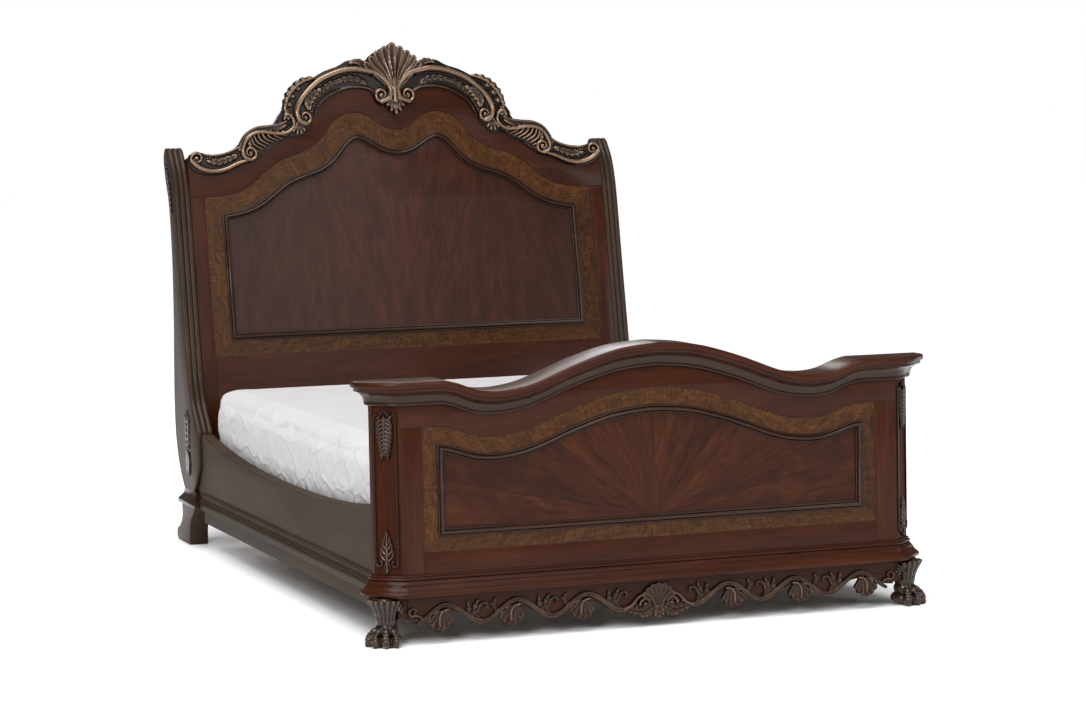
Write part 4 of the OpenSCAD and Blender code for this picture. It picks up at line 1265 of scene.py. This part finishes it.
def mark_rise(mesh, scale, passes=12):
    """Stores how far each point stands above its smoothed surroundings, as the "rise" that the carved
    materials paint lighter on crests (bronze and painted highlight) and darker in hollows (stain and
    painted shade).
    """
    co = coordinates(mesh)
    edges = np.empty(len(mesh.edges) * 2, int)
    mesh.edges.foreach_get("vertices", edges)
    a, b = edges.reshape(-1, 2).T
    count = np.maximum(np.bincount(a, minlength=len(co)) + np.bincount(b, minlength=len(co)), 1)
    soft = co.copy()
    for _ in range(passes):
        total = np.zeros_like(soft)
        np.add.at(total, a, soft[b])
        np.add.at(total, b, soft[a])
        soft = 0.4 * soft + 0.6 * total / count[:, None]
    normal = np.empty(len(co) * 3, np.float32)
    mesh.vertex_normals.foreach_get("vector", normal)
    proud = ((co - soft) * normal.reshape(-1, 3)).sum(1)
    mesh.attributes.new("rise", "FLOAT", "POINT").data.foreach_set(
        "value", np.clip(0.42 + proud / scale, 0, 1).astype(np.float32))


def paw_foot(side, name):
    """A lion's paw: four knuckled toes with claws, a waisted ankle and a ribbed knee."""
    node = "paw_foot_" + name
    top = hi(node).z / MM
    axis_x, axis_y, reach = 802.0, FACE_Y / MM + 32, 64.0
    lumps = [((0, 0, 20), (43, 43, 22), 0, 0), ((0, 0, 48), (33, 33, 26), 0, 0),
             ((0, 0, 72), (31, 31, 26), 0, 0), ((0, 0, 96), (35, 35, 24), 0, 0),
             ((0, 0, 122), (45, 45, 24), 0, 0)]

    def out(a, r, z, size, tilt=0):
        lumps.append(((r * math.cos(a), r * math.sin(a), z), size, a, tilt))

    for degrees in (-104, -70, -34, 2):
        a = math.radians(degrees)
        out(a, 44, 18, (19, 13.5, 18))
        out(a, 36, 43, (13, 10.5, 10), 30)
        out(a, reach - 8, 8, (8, 5.5, 8), -30)
        for z, r in ((39, 50), (31, 55), (23, 57.5)):
            out(a, r, z, (6.5, 10.5, 2.6), 12)
    for degrees in range(-118, 70, 20):
        a = math.radians(degrees)
        for k in range(17):
            t = k / 16
            out(a, 27 + 20 * t ** 1.8, 72 + 56 * t, (5 + 2.5 * t, 2.8 + 3.4 * t, 5))
    for degrees in (-146, 84):
        a0 = math.radians(degrees)
        for k in range(60):
            turn = 0.22 * k
            r = 21 * (1 - k / 66)
            out(a0 + r * math.cos(turn) / 48, 46 + 3 * k / 60, 104 + r * math.sin(turn), (6, 3.2, 3.2))
    bm = bmesh.new()
    for (x, y, z), size, a, tilt in lumps:
        turn = Matrix.Rotation(a, 4, "Z") @ Matrix.Rotation(math.radians(tilt), 4, "Y")
        where = Matrix.Translation((x, y, z)) @ turn @ Matrix.Diagonal((*size, 1))
        bmesh.ops.create_icosphere(bm, subdivisions=3, radius=1.0, matrix=where)
    bmesh.ops.transform(bm, matrix=Matrix.Scale(MM, 4), verts=bm.verts)
    mesh = bpy.data.meshes.new(node)
    bm.to_mesh(mesh)
    bm.free()
    obj = bpy.data.objects.new(node + ".fine", mesh)
    bpy.context.scene.collection.objects.link(obj)
    mesh = evaluated(obj, ("REMESH", {"mode": "VOXEL", "voxel_size": 1.9 * MM}),
                     ("SMOOTH", {"factor": 0.5, "iterations": 3}))
    # rise for the carved colour: painted highlight on the crests of the toes and ribs, painted shade in
    # the hollows
    mark_rise(mesh, 3.0 * MM)
    co = coordinates(mesh)
    co[:, 2] = np.clip(co[:, 2], 0, top * MM)
    co = np.stack([side * (co[:, 0] + axis_x * MM), co[:, 1] + axis_y * MM, co[:, 2]], 1)
    a, b = np.array(lo(node)), np.array(hi(node))
    co = np.clip(co, a, b)
    mesh.vertices.foreach_set("co", co.ravel())
    tidy(obj, 70, weld=False)
    finish_piece(obj, carved_dark, [node])


for side, name in ((-1, "left"), (1, "right")):
    paw_foot(side, name)
    end = hi("footboard_apron").x - 6 * MM
    outline = [(end, 0.070), (end + 34 * MM, 0.078), (end + 34 * MM, BASE_BOTTOM),
               (end, BASE_BOTTOM)]
    plate("apron_end_" + name, [np.array(outline) * (side, 1)], 3 * MM, 20 * MM, FOOT,
          mahogany["x"])

# ---------------------------------------------------------------- mattress


def cover_material():
    """Thin white non-woven cover: faint fibres, soft sheen and painted shade in its folds."""
    m = Shade("mattress_cover")
    spot = m.place((1, 1, 1))
    fibre = m.noise(m.place((1, 1, 1)), 900.0, 3, 0.7, 0.6)
    cloud = m.noise(spot, 5.0, 4, 0.6)
    tint = m.ramp(cloud, (0.30, (0.565, 0.545, 0.552)), (0.70, (0.605, 0.588, 0.595)))
    # painted shade: darker in folds and where surfaces meet, found by ambient occlusion
    tint = m.crease_shade(tint, (0.40, 0.385, 0.395), 0.03, 0.6)
    bent = m.vector("ADD", spot, m.vector("MULTIPLY", m.noise(spot, 3.0, 2, field="Color"),
                                          (0.12, 0.12, 0.12)))
    fold = m.node("TexVoronoi", {"Vector": m.place((1.0, 0.8, 1.5), source=bent), "Scale": 7.5},
                  feature="DISTANCE_TO_EDGE").outputs["Distance"]
    sharp = m.ramp(fold, (0.0, 1.0), (0.10, 0.0))
    flank = m.math("SUBTRACT", 1.0, m.math("ABSOLUTE", m.node("SeparateXYZ", {
        "Vector": m.node("TexCoord").outputs["Normal"]}).outputs["Z"]), clamp=True)
    creased = m.noise(m.place((1.0, 1.6, 1.0)), 34.0, 6, 0.6, 1.4)
    height = m.math("ADD", m.math("MULTIPLY", fibre, 0.10), m.math("MULTIPLY", creased, 0.5))
    height = m.math("ADD", height, m.math("MULTIPLY", sharp, m.math("MULTIPLY", flank, 1.6)))
    m.set(Base_Color=tint, Roughness=m.math("ADD", 0.62, m.math("MULTIPLY", fibre, 0.2)),
          Sheen_Weight=0.10, Sheen_Roughness=0.5, Normal=m.bump(height, 0.003, 0.6))
    return m.material


def cover_cloth(obj, rest, slack, cap):
    """Lets the cover grow a little over its filling, so that it wrinkles, then fixes it."""
    group = obj.vertex_groups.new(name="slack")
    for i, w in enumerate(slack):
        group.add([i], float(w), "REPLACE")
    cloth = obj.modifiers.new("cloth", "CLOTH")
    settings = cloth.settings
    settings.quality = 5
    settings.mass = 0.15
    settings.tension_stiffness = settings.compression_stiffness = 12
    settings.shear_stiffness, settings.bending_stiffness = 6, 0.05
    settings.air_damping = 4
    settings.use_pressure, settings.uniform_pressure_force = True, 0.6
    settings.effector_weights.gravity = 0
    settings.vertex_group_shrink = "slack"
    settings.shrink_min, settings.shrink_max = 0.0, -0.10
    cloth.collision_settings.use_collision = cloth.collision_settings.use_self_collision = False
    scene = bpy.context.scene
    for step in range(1, 21):
        scene.frame_set(step)
    graph = bpy.context.evaluated_depsgraph_get()
    moved = coordinates(obj.evaluated_get(graph).to_mesh())
    obj.modifiers.clear()
    scene.frame_set(1)
    shift = moved - rest
    far = np.linalg.norm(shift, axis=1)
    shift *= np.minimum(1, cap / np.maximum(far, 1e-9))[:, None]
    obj.data.vertices.foreach_set("co", (rest + shift).ravel())


def mattress():
    low, high = np.array(lo("mattress")), np.array(hi("mattress"))
    inset, edge = np.array([11, 11, 7]) * MM, 30 * MM
    bm = bmesh.new()
    size = high - low - 2 * inset
    bmesh.ops.create_cube(bm, size=1.0, matrix=Matrix.Translation((low + high) / 2)
                          @ Matrix.Diagonal((*size, 1)))
    bmesh.ops.bevel(bm, geom=bm.edges[:], offset=edge, segments=5, profile=0.5,
                    affect="EDGES")
    mesh = bpy.data.meshes.new("mattress")
    bm.to_mesh(mesh)
    bm.free()
    obj = bpy.data.objects.new("mattress.fine", mesh)
    bpy.context.scene.collection.objects.link(obj)
    mesh = evaluated(obj, ("REMESH", {"mode": "VOXEL", "voxel_size": 15 * MM}))
    rest = coordinates(mesh)
    flank = np.clip((high[2] - 30 * MM - rest[:, 2]) / (50 * MM), 0, 1)
    crown = np.clip(1 - np.abs(rest[:, 0]) / 0.75, 0, 1) * np.clip(1 - np.abs(
        rest[:, 1] - (low[1] + high[1]) / 2) / 1.0, 0, 1)
    rest[:, 2] += 4 * MM * np.sqrt(crown) * (rest[:, 2] > high[2] - 20 * MM)
    mesh.vertices.foreach_set("co", rest.ravel())
    cover_cloth(obj, rest, 0.10 + 0.9 * flank, 9 * MM)
    mesh = evaluated(obj, ("SUBSURF", {"levels": 1}))
    co = coordinates(mesh)
    normal = np.empty(len(co) * 3, np.float32)
    mesh.vertex_normals.foreach_get("vector", normal)
    normal = normal.reshape(-1, 3)
    upright = 1 - np.abs(normal[:, 2]) ** 1.5
    for i, point in enumerate(co):
        if upright[i] < 0.04:
            co[i, 2] += 0.4 * MM * noise.fractal(Vector(point) * 9.0, 0.8, 2.0, 2)
            continue
        p = Vector(point)
        p += noise.noise_vector(p * 3.0) * 0.06
        far, near = Vector((p.x, p.y * 0.75 + p.z * 0.5, p.z * 1.5)), Vector((p.x, p.y, p.z * 1.3))
        gaps = noise.voronoi(far * 5.2)[0]
        small = noise.voronoi(near * 15.0)[0]
        fold = math.exp(-((gaps[1] - gaps[0]) / 0.10) ** 2)
        tuck = math.exp(-((small[1] - small[0]) / 0.16) ** 2)
        crumple = 0.30 + 0.70 * min(1.0, max(0.0, (0.47 - point[2]) / 0.12))
        lift = 6.5 * fold + 3.0 * tuck * crumple + 1.6 * noise.fractal(p * 9.0, 0.8, 2.0, 3) - 1.5
        co[i] = point + normal[i] * (0.06 + 0.94 * upright[i]) * lift * MM
    co = np.clip(co, low + 0.5 * MM, high - 0.2 * MM)
    mesh.vertices.foreach_set("co", co.ravel())
    tidy(obj, 80, weld=False)
    finish_piece(obj, cover_material(), ["mattress"])


mattress()

# ---------------------------------------------------------------- hidden and plain CAD nodes

CAD_FINISH = {"slat_": pine_wood["x"], "slat_ledger": pine_wood["y"], "centre_legs": pine_wood["z"],
              "headboard_back_panel": pine_wood["x"], "footboard_back_panel": dark_wood["x"],
              "rail_hook_plates": zinc_steel, "rail_catch_plates": zinc_steel,
              "wood_screws": zinc_steel, "leveller": zinc_steel,
              "footboard_apron": mahogany["x"], "crest": gilt, "apron": gilt, "post_carv": gilt,
              "pilaster": gilt, "paw": dark_wood["z"]}

for node, obj in NODES.items():
    matches = [key for key in CAD_FINISH if node.startswith(key)]
    if matches:
        obj.data.materials.clear()
        obj.data.materials.append(CAD_FINISH[max(matches, key=len)])

# ---------------------------------------------------------------- studio


def studio():
    scene = bpy.context.scene
    scene.view_settings.view_transform = "Standard"
    floor = bpy.data.meshes.new("floor")
    half = 40.0
    floor.from_pydata([(-half, -half, 0), (half, -half, 0), (half, half, 0), (-half, half, 0)], [],
                      [(0, 1, 2, 3)])
    ground = bpy.data.objects.new("floor", floor)
    scene.collection.objects.link(ground)
    m = Shade("floor_paper")
    soft = m.noise(m.place((1, 1, 1)), 0.8, 3)
    m.set(Base_Color=m.ramp(soft, (0.2, (0.94, 0.94, 0.94)), (0.8, (0.96, 0.96, 0.96))),
          Roughness=0.9, Specular_IOR_Level=0.2)
    floor.materials.append(m.material)
    world = bpy.data.worlds.new("studio")
    world.use_nodes = True
    tree = world.node_tree
    glow = tree.nodes["Background"]
    seen = tree.nodes.new("ShaderNodeLightPath").outputs["Is Camera Ray"]
    glow.inputs["Color"].default_value = (1, 1, 1, 1)
    level = tree.nodes.new("ShaderNodeMapRange")
    level.inputs["To Min"].default_value = 0.10
    level.inputs["To Max"].default_value = 1.0
    tree.links.new(seen, level.inputs["Value"])
    tree.links.new(level.outputs["Result"], glow.inputs["Strength"])
    scene.world = world
    sky = bpy.data.lights.new("overhead", "SUN")
    sky.energy, sky.angle = 3.3, math.radians(50)
    lamp = bpy.data.objects.new("overhead", sky)
    lamp.rotation_euler = (math.radians(12), math.radians(-10), 0)
    scene.collection.objects.link(lamp)
    middle = Vector((0, 0, 0.7))
    for name, place, wide, high, power in (("key", (-4.2, -5.4, 3.4), 2.6, 2.2, 210),
                                           ("fill", (4.8, -5.0, 2.2), 2.2, 2.2, 70),
                                           ("sheen", (0.7, -4.8, 3.6), 2.6, 4.0, 62),
                                           ("back", (1.0, 5.5, 3.0), 3.0, 2.0, 90)):
        light = bpy.data.lights.new(name, "AREA")
        light.shape = "RECTANGLE"
        light.size, light.size_y, light.energy = wide, high, power
        lamp = bpy.data.objects.new(name, light)
        lamp.location = place
        lamp.rotation_euler = (middle - Vector(place)).to_track_quat("-Z", "Y").to_euler()
        scene.collection.objects.link(lamp)


def camera():
    yaw, pitch, roll = 0.34899, -0.08435, -0.01935
    ahead = Vector((math.sin(yaw) * math.cos(pitch), math.cos(yaw) * math.cos(pitch),
                    math.sin(pitch)))
    right = Vector((math.cos(yaw), -math.sin(yaw), 0))
    top = right.cross(ahead)
    r = math.cos(roll) * right + math.sin(roll) * top
    u = math.cos(roll) * top - math.sin(roll) * right
    data = bpy.data.cameras.new("camera")
    data.lens, data.sensor_width, data.clip_end = 102.38, 36.0, 200.0
    seat = bpy.data.objects.new("camera", data)
    seat.matrix_world = Matrix((r, u, -ahead)).transposed().to_4x4()
    seat.location = (-3.2890, -9.3479, 1.5074)
    bpy.context.scene.collection.objects.link(seat)
    bpy.context.scene.camera = seat


studio()
camera()

bpy.context.view_layer.update()
